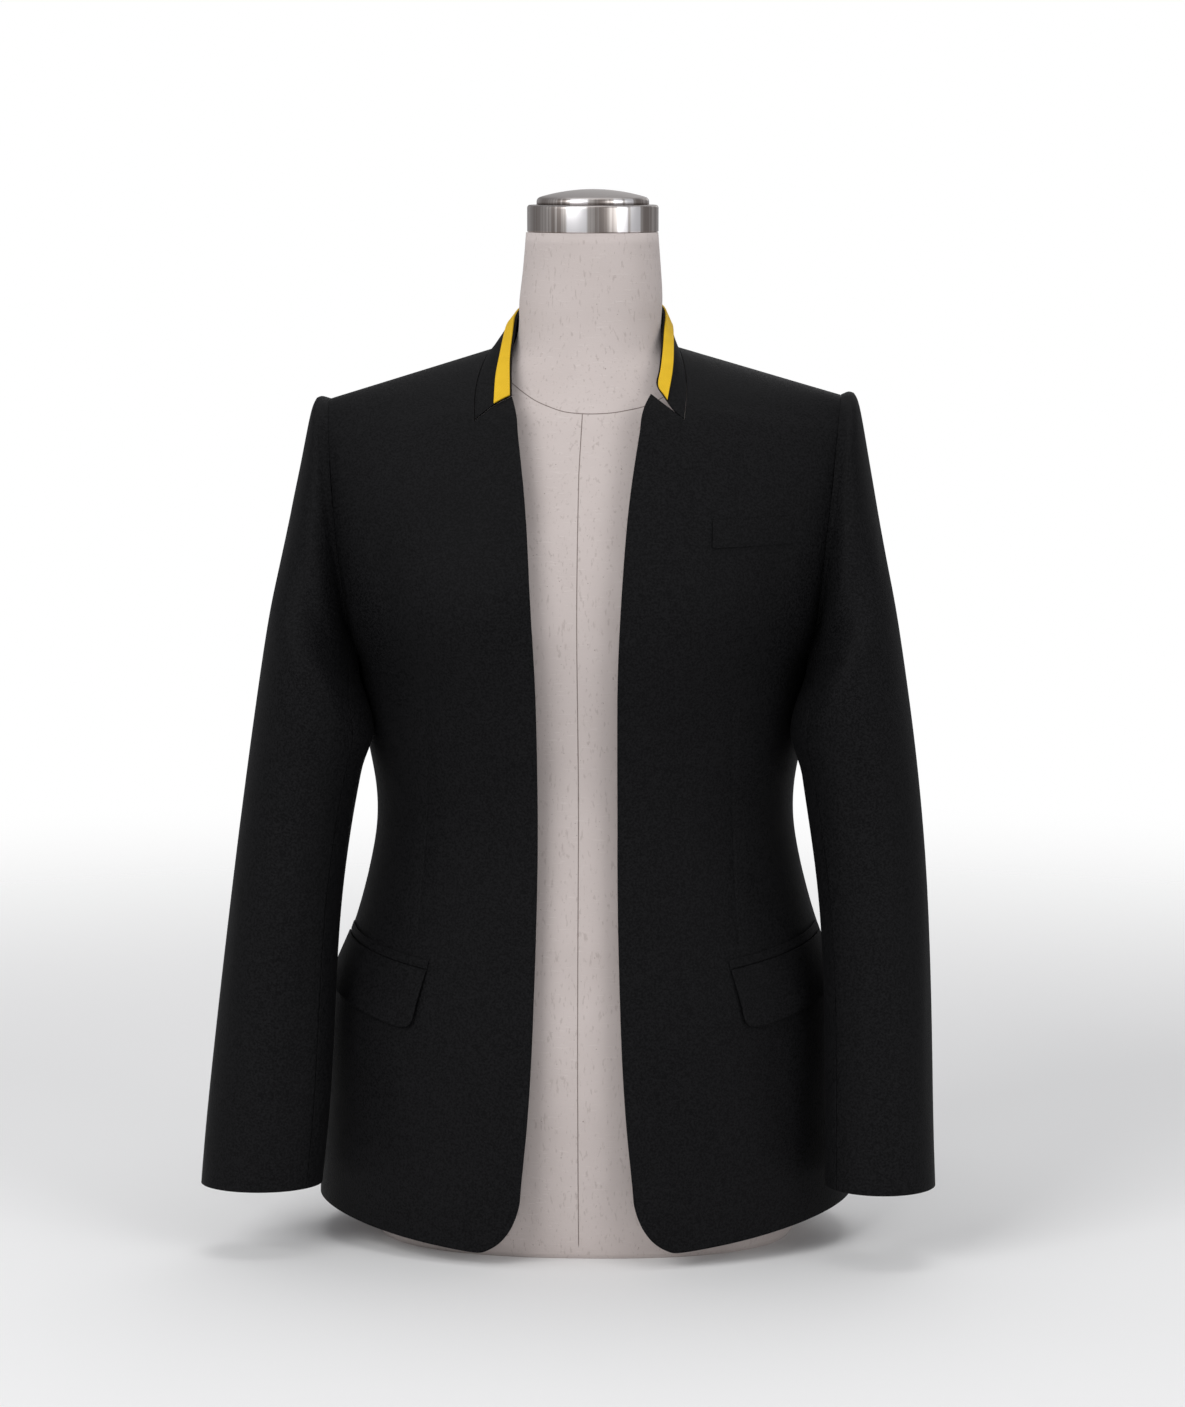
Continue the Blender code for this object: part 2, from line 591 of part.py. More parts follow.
def make_sleeves(material):
    """Two-piece sleeves: a top sleeve over the arm and an under sleeve next to the body."""
    halves = (("top_sleeve", FRONT_ARM_SEAM, BACK_ARM_SEAM, TOP_SLEEVE_SIDES),
              ("under_sleeve", BACK_ARM_SEAM + 360, FRONT_ARM_SEAM, UNDER_SLEEVE_SIDES))
    for arm, side in (("right", -1), ("left", 1)):
        rings = SLEEVE_RINGS[arm]
        surface = sleeve_surface(rings)
        fine = np.arange(0.0, FINE_SLEEVE_RINGS, 0.5)
        ways = np.concatenate([fine, np.arange(FINE_SLEEVE_RINGS, len(rings) + 1)])
        for name, start, end, count in halves:
            grid = [[(angle, way) for angle in np.linspace(start, end, count + 1)] for way in ways[::-1]]
            places, faces = join_grids(np.array(grid))
            places[:, 0] = (places[:, 0] + 180.0) % 360.0 - 180.0
            points = np.array([surface(angle, way) for angle, way in places])
            normals = np.array([sleeve_normal(surface, *place, len(rings)) for place in places])
            wall(f"{name}_{arm}", points, normals, faces, CLOTH, material, side, trim=SEAM)


def sleeve_normal(surface, angle, way, last):
    """Unit normal that points out of the arm, taken just inside the sleeve's two ends."""
    near = min(max(way, 0.05), last - 0.05)
    around = surface(angle - 0.5, near) - surface(angle + 0.5, near)
    upward = surface(angle, near - 0.02) - surface(angle, near + 0.02)
    normal = np.cross(around, upward)
    return normal / np.linalg.norm(normal)


# ---------------------------------------------------------------- collar
def neckline(share, measure=body_point):
    """Neckline on the body, from the centre back (0) over the shoulder (0.5) to the notch (1)."""
    if share <= 0.5:
        run = back_neck(12)
        stations = np.linspace(0.0, 0.5, 13)
    else:
        run = neck_seam(12)[::-1]
        stations = np.linspace(0.5, 1.0, 13)
    u = np.interp(share, stations, run[:, 0])
    v = np.interp(share, stations, run[:, 1])
    return measure(u, v)


def collar_foot(share):
    """Foot of the band on the neckline, its upper edge above it, and the body's normal there."""
    mirror = np.array([math.copysign(1.0, share), 1.0, 1.0])
    low = neckline(abs(share)) * mirror
    high = table_curve(COLLAR_EDGE)(abs(share)) * mirror
    high[0] += NECK_SHIFT * np.interp(abs(share), (0.0, 1.0), COLLAR_SHIFT)
    normal = neckline(abs(share), lambda u, v: outward(body_point, u, v)) * mirror
    return low, high, normal


def plain_collar(share, rise):
    """The band before its right end is fitted to the front's gorge."""
    low, high, _ = collar_foot(share)
    climb = (high - low) / np.linalg.norm(high - low)
    low = low + climb * SEAM
    around = np.array([low[0] - NECK_SHIFT * rise, low[1] - NECK_Y, 0.0])
    bow = COLLAR_CROWN * math.sin(math.pi * min(max(rise, 0.0), 1.0))
    return low + (high - low) * rise + bow * around / np.linalg.norm(around)


def collar_point(share, rise):
    """Outer face of the band. share runs from the right notch (-1) round the back to the left (1)."""
    point = plain_collar(share, rise)
    nearness = (abs(share) - FITTED_FROM) / (1.0 - FITTED_FROM)
    if nearness > 0.0 and share > 0.0:
        forward = (plain_collar(1.0, rise) - plain_collar(0.9, rise)) / 0.1
        point += forward * LEFT_END_FILL * math.sin(math.pi * min(max(rise, 0.0), 1.0)) * nearness**2
    elif nearness > 0.0:
        gorge = gorge_line(PEAK_CLOSED, GORGE_BOW, 6)[::-1]
        stations = np.linspace(0.0, 1.0, 7)
        u, v = (np.interp(rise, stations, gorge[:, k]) for k in range(2))
        seat = body_point(u, v) * np.array([-1.0, 1.0, 1.0]) + np.array([0.0, 0.0, NOTCH_GAP])
        point += (seat - plain_collar(-1.0, rise)) * nearness**2
    return point


def collar_patch(foot, head, count):
    """Points, normals and faces of the band from one height to another, in that many rows.

    The foot's height is a function of the way round. The band is cut square to the cloth below.
    """
    shares = np.linspace(1.0, -1.0, 4 * NECK_ROWS + 1)
    feet = np.array([foot(share) for share in shares])
    grid = [list(zip(shares, feet + (head - feet) * t)) for t in np.linspace(0.0, 1.0, count + 1)]
    places, faces = join_grids(np.array(grid))
    points = np.array([collar_point(share, rise) for share, rise in places])
    normals = []
    for share, rise in places:
        low, high, below = collar_foot(share)
        across = collar_point(max(share - 0.02, -1.0), rise) - collar_point(min(share + 0.02, 1.0), rise)
        up = collar_point(share, min(rise + 0.05, 1.0)) - collar_point(share, max(rise - 0.05, 0.0))
        normal = np.cross(across, up)
        at_foot = rise == 0.0 and np.dot(high - low, below) < 0.0
        if at_foot or abs(share) == 1.0:
            normal = below
        normals.append(normal / np.linalg.norm(normal))
    return points, np.array(normals), faces


def make_collar(cloth, trim):
    """Stand band with its ends cut to the notch, and the strip that lies on its upper half."""
    edge = table_curve(STRIP_FOOT)
    band = collar_patch(lambda share: 0.0, 1.0, COLLAR_ROWS)
    strip = collar_patch(lambda share: edge(share)[0], STRIP_HEAD, STRIP_ROWS)
    wall("collar_band", *band, BAND, cloth, trim=SEAM)
    wall("collar_strip", *strip, TRIM, trim, lift=STRIP_GAP + TRIM, trim=SEAM)


# ---------------------------------------------------------------- pockets
def pocket_patch(low_front, low_rear, high_front, high_rear, columns, rows):
    """Grid of (u, v) between four corners given as (u, z)."""
    grid = np.zeros((rows + 1, columns + 1, 2))
    for j in range(rows + 1):
        for i in range(columns + 1):
            t, w = i / columns, j / rows
            low = np.array(low_front) * (1 - t) + np.array(low_rear) * t
            high = np.array(high_front) * (1 - t) + np.array(high_rear) * t
            u, z = low * (1 - w) + high * w
            grid[j, i] = (u, height_at(u, z, 0.35))
    return grid


def make_hip_pockets(material):
    """Slanted hip pockets: a jet along the opening and a flap that hangs from it."""
    u_front, _ = locate(*FLAP_TOP_FRONT, (0.5, 0.3))
    z_front = FLAP_TOP_FRONT[1]
    z_rear = z_front + FLAP_REAR_RISE
    u_low, _ = locate(FLAP_TOP_FRONT[0] + FLAP_LEAN, z_front - FLAP_DROP[0], (0.5, 0.3))
    top = ((u_front, z_front), (FLAP_REAR_U, z_rear))
    low = ((u_low, z_front - FLAP_DROP[0]), (FLAP_REAR_U, z_rear - FLAP_DROP[1]))
    jet_low = [(u, z + 2 * SEAM) for u, z in top]
    jet_high = [(u, z + 2 * SEAM + JET_HEIGHT) for u, z in top]
    columns, rows = FLAP_CELLS
    for arm, side in (("right", -1), ("left", 1)):
        flap = pocket_patch(*low, *top, columns, rows)
        flap[0, 0] += FLAP_CORNER_CUT * (0.5 * (flap[0, 1] + flap[1, 0]) - flap[0, 0])
        stand_off = np.repeat(np.linspace(FLAP_LIFT, 0.0, rows + 1), columns + 1)
        wall(f"hip_flap_{arm}", *body_patch(flap), TRIM, material, side, lift=PATCH_GAP + TRIM + stand_off)
        jet = pocket_patch(*jet_low, *jet_high, columns, 1)
        wall(f"hip_jet_{arm}", *body_patch(jet), TRIM, material, side, lift=PATCH_GAP + TRIM)


def make_breast_welt(material):
    """Welt of the breast pocket, on the wearer's left only."""
    x, z = WELT_LOW_INNER
    width, height = WELT_SIZE
    corners = []
    for dx, dz in ((0.0, 0.0), (width, WELT_RISE), (0.0, height), (width, height + WELT_RISE)):
        u, _ = locate(x + dx, z + dz, (0.5, 0.75))
        corners.append((u, z + dz))
    patch = body_patch(pocket_patch(*corners, *WELT_CELLS))
    wall("breast_welt", *patch, TRIM, material, lift=WELT_GAP + TRIM)


# ---------------------------------------------------------------- dress form
def make_form(material):
    """Padded torso from its flat underside to the top of the neck."""
    mesh = bmesh.new()
    rings = []
    for z, half_width, front, back, roundness in FORM_RINGS:
        shift = NECK_SHIFT * min(max((z - NECK_SHIFT_RISE[0]) / NECK_SHIFT_RISE[1], 0.0), 1.0)
        ring = []
        for k in range(FORM_SIDES):
            a = 2.0 * math.pi * (k + 0.5) / FORM_SIDES
            cosine, sine = math.cos(a), math.sin(a)
            depth = back if sine > 0.0 else -front
            reach = 2.0 / roundness
            x = half_width * math.copysign(abs(cosine) ** reach, cosine)
            y = depth * math.copysign(abs(sine) ** reach, sine)
            if sine < 0.0:
                away = ((abs(x) - BUST_AT[0]) ** 2 + (z - BUST_AT[1]) ** 2) / BUST_SPREAD**2
                y -= BUST_RISE * math.exp(-away) * min(1.0, -2.0 * sine)
            ring.append(mesh.verts.new((x + shift, y, z)))
        rings.append(ring)
    for low, high in zip(rings, rings[1:]):
        for k in range(FORM_SIDES):
            n = (k + 1) % FORM_SIDES
            mesh.faces.new((low[k], low[n], high[n], high[k]))
    mesh.faces.new(rings[0][::-1])
    mesh.faces.new(rings[-1])
    return add_object("form_torso", mesh, material)


def turned(name, profile, material):
    """Solid of revolution round the neck's axis, from (radius, height) points, top to bottom."""
    data = bpy.data.meshes.new(name)
    data.from_pydata([(r, 0.0, z) for r, z in profile], [(k, k + 1) for k in range(len(profile) - 1)], [])
    data.materials.append(material)
    thing = bpy.data.objects.new(name, data)
    thing.location = (NECK_SHIFT, NECK_Y, 0.0)
    bpy.data.collections[COLLECTION].objects.link(thing)
    spin = thing.modifiers.new("turn", "SCREW")
    spin.steps = 40
    spin.render_steps = 40
    spin.use_merge_vertices = True
    spin.merge_threshold = 0.0001
    spin.use_smooth_shade = True
    return thing


def make_cap(material):
    """Two-tier steel cap on the neck: a straight band, and a smaller crowned disc on it."""
    radius, height = CAP_BAND
    base = NECK_TOP + SEAM
    band = [(0.0, base + height), (radius - CAP_EDGE, base + height), (radius, base + height - CAP_EDGE),
            (radius, base + CAP_EDGE), (radius - CAP_EDGE, base), (0.0, base)]
    turned("cap_band", band, material)
    base += height + SEAM
    radius, height = CAP_TOP
    middle = radius - DISC_ROUND
    reach = middle + DISC_ROUND * math.sin(math.radians(DISC_ROUND_STEPS[0]))
    disc = [(reach * share, base + height + CAP_CROWN * (1.0 - share**2)) for share in (0.0, 0.35, 0.70)]
    disc += [(middle + DISC_ROUND * math.sin(a), base + height - DISC_ROUND * (1.0 - math.cos(a)))
             for a in np.radians(DISC_ROUND_STEPS)]
    disc += [(radius, base), (0.0, base)]
    turned("cap_disc", disc, material)


# ---------------------------------------------------------------- build
for old in list(bpy.data.objects):
    bpy.data.objects.remove(old, do_unlink=True)
bpy.context.scene.collection.children.link(bpy.data.collections.new(COLLECTION))

suiting = make_material(*BLACK_CLOTH)
ribbon = make_material(*YELLOW_CLOTH)
linen = make_material(*LINEN)
steel = make_material(*STEEL)

make_fronts(suiting)
make_backs(suiting)
make_sleeves(suiting)
make_collar(suiting, ribbon)
make_hip_pockets(suiting)
make_breast_welt(suiting)
make_form(linen)
make_cap(steel)
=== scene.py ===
import math

import bmesh
import bpy
import numpy as np
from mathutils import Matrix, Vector
from mathutils.bvhtree import BVHTree


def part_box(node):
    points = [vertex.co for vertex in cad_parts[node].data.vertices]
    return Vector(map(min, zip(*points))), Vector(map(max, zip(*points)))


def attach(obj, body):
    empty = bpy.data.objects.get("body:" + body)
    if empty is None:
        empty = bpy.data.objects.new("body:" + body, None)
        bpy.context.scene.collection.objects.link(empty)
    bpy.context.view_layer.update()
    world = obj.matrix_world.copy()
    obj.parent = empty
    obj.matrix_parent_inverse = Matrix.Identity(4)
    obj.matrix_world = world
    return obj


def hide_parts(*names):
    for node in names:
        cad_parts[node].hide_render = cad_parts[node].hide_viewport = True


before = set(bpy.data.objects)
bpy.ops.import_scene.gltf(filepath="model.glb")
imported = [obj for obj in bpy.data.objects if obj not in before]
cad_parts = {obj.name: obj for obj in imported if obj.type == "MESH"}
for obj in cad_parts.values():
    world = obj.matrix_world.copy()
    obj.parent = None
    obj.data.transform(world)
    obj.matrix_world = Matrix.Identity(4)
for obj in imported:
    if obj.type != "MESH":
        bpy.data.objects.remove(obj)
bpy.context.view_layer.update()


# ============================================================ dress form
# The limbless form that the blazer stands on: a hard padded torso under a tight cover of
# unbleached linen. The cover's panels meet in fine raised seams: one round the base of the neck,
# and one each down the centre front, the centre back and the two sides.
MERGE = 2e-6                # packed points closer than this are one point
FORM_LEVELS = 2
FORM_SEAM_RADIUS = 0.00045
FORM_SEAM_SINK = 0.00020    # the cord lies this deep in the linen
NECK_AXIS = (0.0055, 0.012)
# Height of the neck-base seam by the angle round the neck's axis, 0 at the front.
NECK_SEAM = ((-180, 0.6960), (-120, 0.6930), (-80, 0.6830), (-48, 0.6651), (-29, 0.6511),
             (-13, 0.6434), (0, 0.6420), (13, 0.6427), (30, 0.6469), (52, 0.6600), (82, 0.6820),
             (120, 0.6930), (180, 0.6960))
NECK_SEAM_POINTS = 144
# Upright seams: the side of the form as x and y, and the height of the seam's top.
UPRIGHT_SEAMS = ((0.0, -1.0, 0.6420), (0.0, 1.0, 0.6960), (1.0, 0.0, 0.6400), (-1.0, 0.0, 0.6400))
UPRIGHT_FOOT = 0.003        # height of their lower ends
UPRIGHT_POINTS = 60
CLEAR_OF_FORM = 0.5         # a seam's points are dropped on the form from this far away
NECK_LEAN = (0.0055, 0.60, 0.15)    # the neck's shift, the height it starts at, the rise it takes


def merged(node):
    """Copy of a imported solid, with the points of its loose triangles merged."""
    mesh = bmesh.new()
    mesh.from_mesh(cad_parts[node].data)
    bmesh.ops.remove_doubles(mesh, verts=mesh.verts, dist=MERGE)
    return mesh


def points_of(data):
    """Points of a mesh as rows of x, y, z."""
    flat = np.zeros(len(data.vertices) * 3)
    data.vertices.foreach_get("co", flat)
    return flat.reshape(-1, 3)


def move_points(data, points):
    data.vertices.foreach_set("co", points.ravel())
    data.update()


def add_piece(name, data, *finishes):
    """Put a finished mesh in the scene, shaded smooth."""
    piece = bpy.data.objects.new(name, data)
    bpy.context.scene.collection.objects.link(piece)
    data.materials.clear()
    for finish in finishes:
        data.materials.append(finish)
    data.shade_smooth()
    return piece


def made_plain(piece):
    """Take up a piece's modifiers into a plain mesh, and hand back that mesh."""
    graph = bpy.context.evaluated_depsgraph_get()
    data = bpy.data.meshes.new_from_object(piece.evaluated_get(graph), depsgraph=graph)
    bpy.data.objects.remove(piece)
    return data


def smoothed(name, cage, levels):
    """Smooth skin of a cage that still passes through the cage's own points."""
    data = bpy.data.meshes.new(name)
    cage.to_mesh(data)
    cage.free()
    piece = bpy.data.objects.new(name, data)
    bpy.context.scene.collection.objects.link(piece)
    smooth = piece.modifiers.new("smooth", "SUBSURF")
    smooth.levels = smooth.render_levels = 1
    goal = points_of(data)
    for _ in range(4):
        graph = bpy.context.evaluated_depsgraph_get()
        reached = piece.evaluated_get(graph).to_mesh()
        move_points(data, points_of(data) + goal - points_of(reached)[:len(goal)])
        piece.evaluated_get(graph).to_mesh_clear()
    smooth.levels = smooth.render_levels = levels
    return made_plain(piece)


class Wire:
    """A value in a material's nodes, so that shader maths reads as plain Python."""

    def __init__(self, finish, socket):
        self.finish = finish
        self.socket = socket

    def __add__(self, other):
        return self.finish.maths("ADD", self, other)

    def __sub__(self, other):
        return self.finish.maths("SUBTRACT", self, other)

    def __rsub__(self, other):
        return self.finish.maths("SUBTRACT", other, self)

    def __mul__(self, other):
        return self.finish.maths("MULTIPLY", self, other)

    __radd__ = __add__
    __rmul__ = __mul__


class Finish:
    """A material under construction round one Principled shader."""

    def __init__(self, name, **constants):
        self.material = bpy.data.materials.new(name)
        self.material.use_nodes = True
        self.tree = self.material.node_tree
        self.shader = self.tree.nodes["Principled BSDF"]
        for socket, value in constants.items():
            self.shader.inputs[socket.replace("_", " ")].default_value = value

    def add(self, kind, values=None, out=0, **settings):
        """Any node: its settings first, then the values or wires of its sockets."""
        made = self.tree.nodes.new("ShaderNode" + kind)
        for setting, value in settings.items():
            setattr(made, setting, value)
        for socket, value in (values or {}).items():
            if isinstance(value, Wire):
                self.tree.links.new(value.socket, made.inputs[socket])
            else:
                made.inputs[socket].default_value = value
        return Wire(self, made.outputs[out])

    def maths(self, operation, first, second=0.0):
        return self.add("Math", {0: first, 1: second}, operation=operation)

    def place(self, stretch=(1.0, 1.0, 1.0), turn=(0.0, 0.0, 0.0)):
        """Object coordinates in metres, stretched or turned."""
        spot = self.add("TexCoord", out="Object")
        return self.add("Mapping", {"Vector": spot, "Scale": stretch, "Rotation": turn})

    def noise(self, spot, scale, detail=2.0, roughness=0.5):
        return self.add("TexNoise", {"Vector": spot, "Scale": scale, "Detail": detail,
                                     "Roughness": roughness})

    def step(self, value, low, high):
        """0 below low and 1 above high, with a soft change in between."""
        return self.add("MapRange", {"Value": value, "From Min": low, "From Max": high},
                        interpolation_type="SMOOTHSTEP")

    def blend(self, share, first, second):
        """One colour turning into another."""
        return self.add("Mix", {0: share, 6: first, 7: second}, out=2, data_type="RGBA")

    def bump(self, height, distance):
        return self.add("Bump", {"Height": height, "Distance": distance, "Strength": 1.0})

    def drive(self, **wires):
        """Feed the shader's own sockets, and hand back the material."""
        for socket, wire in wires.items():
            self.tree.links.new(wire.socket, self.shader.inputs[socket.replace("_", " ")])
        return self.material


def linen_finish():
    linen = Finish("linen_weave", Specular_IOR_Level=0.25, Sheen_Weight=0.15, Sheen_Roughness=0.6)
    spot = linen.place()
    cloudy = linen.noise(spot, 22.0, 3.0)
    tilted = linen.place((1.0, 1.0, 0.30), (0.0, 0.9, 0.3))
    flecks = linen.step(linen.noise(tilted, 480.0, 3.0), 0.58, 0.70)
    specks = linen.step(linen.noise(spot, 430.0, 1.0), 0.76, 0.80)
    drawn = linen.place((0.16, 0.16, 1.0), (0.5, 0.0, 0.0))
    slubs = linen.step(linen.noise(drawn, 620.0, 2.0), 0.60, 0.72)
    base = linen.blend(cloudy, (0.500, 0.440, 0.420, 1.0), (0.590, 0.525, 0.505, 1.0))
    base = linen.blend(flecks * 0.42, base, (0.330, 0.275, 0.255, 1.0))
    base = linen.blend(specks * 0.70, base, (0.220, 0.175, 0.155, 1.0))
    base = linen.blend(slubs * 0.25, base, (0.660, 0.600, 0.580, 1.0))
    upright, level = linen.place((1.0, 1.0, 0.2)), linen.place((0.2, 0.2, 1.0))
    threads = linen.noise(upright, 2600.0) + linen.noise(level, 2600.0)
    puckers = linen.noise(linen.place((0.5, 0.5, 1.0), (0.3, 0.2, 0.0)), 130.0, 3.0)
    height = threads * 0.00010 + puckers * 0.00022 + slubs * 0.00008
    return linen.drive(Base_Color=base, Roughness=0.82 + cloudy * 0.12,
                       Normal=linen.bump(height, 1.0))


def seam_finish():
    # The cords are coloured a dark linen: painted shade standing in for the shadow in the stitched
    # seam's groove. The noise only gives a random tone.
    thread = Finish("seam_cord_painted_shade", Specular_IOR_Level=0.1)
    mottle = thread.noise(thread.place(), 500.0, 2.0)
    base = thread.blend(mottle, (0.170, 0.140, 0.128, 1.0), (0.300, 0.255, 0.238, 1.0))
    return thread.drive(Base_Color=base, Roughness=0.85 + mottle * 0.1)


def form_cage():
    """The torso's rings of points, lofted again as four-sided cells."""
    loose = merged("form_torso")
    rings = {}
    for vert in loose.verts:
        rings.setdefault(round(vert.co.z, 4), []).append(vert.co.copy())
    loose.free()
    cage = bmesh.new()
    lofted = []
    for height in sorted(rings):
        middle = sum(p.x for p in rings[height]) / len(rings[height])
        ring = sorted(rings[height], key=lambda p: math.atan2(p.y, p.x - middle))
        lofted.append([cage.verts.new(p) for p in ring])
    for low, high in zip(lofted, lofted[1:]):
        for k in range(len(low)):
            cage.faces.new((low[k - 1], low[k], high[k], high[k - 1]))
    cage.faces.new(lofted[0][::-1])
    cage.faces.new(lofted[-1])
    crease = cage.edges.layers.float.new("crease_edge")
    for ring in (lofted[0], lofted[1], lofted[-1]):
        for k in range(len(ring)):
            cage.edges.get((ring[k - 1], ring[k]))[crease] = 1.0
    return cage


def wire_piece(name, paths):
    """An object in the scene with one curve for each path of points, closed or open."""
    wire = bpy.data.curves.new(name, "CURVE")
    wire.dimensions = "3D"
    for path, closed in paths:
        spline = wire.splines.new("POLY")
        spline.points.add(len(path) - 1)
        spline.points.foreach_set("co", np.hstack([path, np.ones((len(path), 1))]).ravel())
        spline.use_cyclic_u = closed
    piece = bpy.data.objects.new(name, wire)
    bpy.context.scene.collection.objects.link(piece)
    return piece


def seam_cords(name, paths, radius, finish):
    """Thin cords along paths of points, from one tree of Geometry Nodes."""
    tree = bpy.data.node_groups.new(name, "GeometryNodeTree")
    tree.interface.new_socket("Geometry", in_out="INPUT", socket_type="NodeSocketGeometry")
    size = tree.interface.new_socket("Cord radius", in_out="INPUT", socket_type="NodeSocketFloat")
    cover = tree.interface.new_socket("Cover", in_out="INPUT", socket_type="NodeSocketMaterial")
    tree.interface.new_socket("Geometry", in_out="OUTPUT", socket_type="NodeSocketGeometry")
    given, result, ring, tube, plain, dressed = (tree.nodes.new(kind) for kind in (
        "NodeGroupInput", "NodeGroupOutput", "GeometryNodeCurvePrimitiveCircle",
        "GeometryNodeCurveToMesh", "GeometryNodeRealizeInstances", "GeometryNodeSetMaterial"))
    ring.inputs["Resolution"].default_value = 8
    link = tree.links.new
    link(given.outputs["Cord radius"], ring.inputs["Radius"])
    link(given.outputs["Geometry"], tube.inputs["Curve"])
    link(ring.outputs["Curve"], tube.inputs["Profile Curve"])
    tube.inputs["Fill Caps"].default_value = True
    link(tube.outputs["Mesh"], plain.inputs["Geometry"])
    link(plain.outputs["Geometry"], dressed.inputs["Geometry"])
    link(given.outputs["Cover"], dressed.inputs["Material"])
    link(dressed.outputs["Geometry"], result.inputs["Geometry"])
    piece = wire_piece(name, paths)
    cords = piece.modifiers.new("cords", "NODES")
    cords.node_group = tree
    cords[size.identifier] = radius
    cords[cover.identifier] = finish
    return add_piece(name, made_plain(piece), finish)


linen_weave = linen_finish()
form_cover = add_piece("form_cover", smoothed("form_cover", form_cage(), FORM_LEVELS), linen_weave)
form_skin = BVHTree.FromObject(form_cover, bpy.context.evaluated_depsgraph_get())


def on_form(start, towards):
    """Where a line from start meets the form's cover, drawn in by the seam's sink."""
    hit, normal, _, _ = form_skin.ray_cast(start, towards)
    return hit - normal * FORM_SEAM_SINK


def form_seam_paths():
    """The neck-base seam as a closed ring, and four upright seams below it."""
    angles = np.linspace(-180.0, 180.0, NECK_SEAM_POINTS + 1)[:-1]
    heights = np.interp(angles, *np.transpose(NECK_SEAM))
    for _ in range(3):
        heights = 0.25 * np.roll(heights, 1) + 0.5 * heights + 0.25 * np.roll(heights, -1)
    neck = []
    for angle, height in zip(np.radians(angles), heights):
        away = (math.sin(angle), -math.cos(angle))
        start = (NECK_AXIS[0] + CLEAR_OF_FORM * away[0],
                 NECK_AXIS[1] + CLEAR_OF_FORM * away[1], height)
        neck.append(on_form(start, (-away[0], -away[1], 0.0)))
    paths = [(np.array(neck), True)]
    shift, begin, rise = NECK_LEAN
    for x, y, top in UPRIGHT_SEAMS:
        seam = []
        for height in np.linspace(UPRIGHT_FOOT, top, UPRIGHT_POINTS):
            lean = shift * min(max((height - begin) / rise, 0.0), 1.0)
            start = (CLEAR_OF_FORM * x + lean, CLEAR_OF_FORM * y, height)
            seam.append(on_form(start, (-x, -y, 0.0)))
        paths.append((np.array(seam), False))
    return paths


seam_cord_painted_shade = seam_finish()
form_seams = seam_cords("form_seams", form_seam_paths(), FORM_SEAM_RADIUS, seam_cord_painted_shade)
for piece in (form_cover, form_seams):
    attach(piece, "root")
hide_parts("form_torso")


# ============================================================ steel cap
# Two spun tiers of brushed steel close the form's neck: a straight band with a rolled upper edge,
# and a smaller disc with a low crown. Both are pressed on to the neck's top.
TURNED_SIDES = 128
BAND_EDGE = 0.0022          # radius of the band's upper edge
BAND_LIP = 0.0006           # and of its lower one
DISC_EDGE = 0.0038
DISC_EDGE_START = 13        # degrees from upright at which the crown runs into the disc's edge
DISC_CROWN = 0.0058
CROWN_RINGS = 9
CROWN_REACH = 0.96          # share of the crown's radius that the rings take
EDGE_POINTS = 7
# Painted reflections on the front: bright bands painted into the steel's colour, given as the degrees
# round the neck where each begins and ends.
PAINTED_REFLECTION_LINES = ((-21, -2), (24, 35), (37, 49))


def turned(name, profile, finish):
    """Closed solid turned round the neck's axis, from (radius, height) points, top to bottom."""
    data = bpy.data.meshes.new(name)
    mesh = bmesh.new()
    rings = []
    for radius, height in profile:
        if radius == 0.0:
            rings.append([mesh.verts.new((*NECK_AXIS, height))])
            continue
        angles = np.linspace(0.0, 2.0 * math.pi, TURNED_SIDES + 1)[:-1]
        rings.append([mesh.verts.new((NECK_AXIS[0] + radius * math.cos(a),
                                      NECK_AXIS[1] + radius * math.sin(a), height)) for a in angles])
    for high, low in zip(rings, rings[1:]):
        for k in range(TURNED_SIDES):
            below = (low[k - 1], low[k]) if len(low) > 1 else (low[0],)
            above = (high[k], high[k - 1]) if len(high) > 1 else (high[0],)
            mesh.faces.new((*below, *above))
    mesh.to_mesh(data)
    mesh.free()
    return add_piece(name, data, finish)


def rounded(radius, height, size, start, end):
    """Points of a rounded edge whose outermost lines are at that radius and height."""
    drop = size if start < 90 else -size
    return [(radius - size + size * math.sin(a), height - drop * (1.0 - abs(math.cos(a))))
            for a in np.radians(np.linspace(start, end, EDGE_POINTS))]


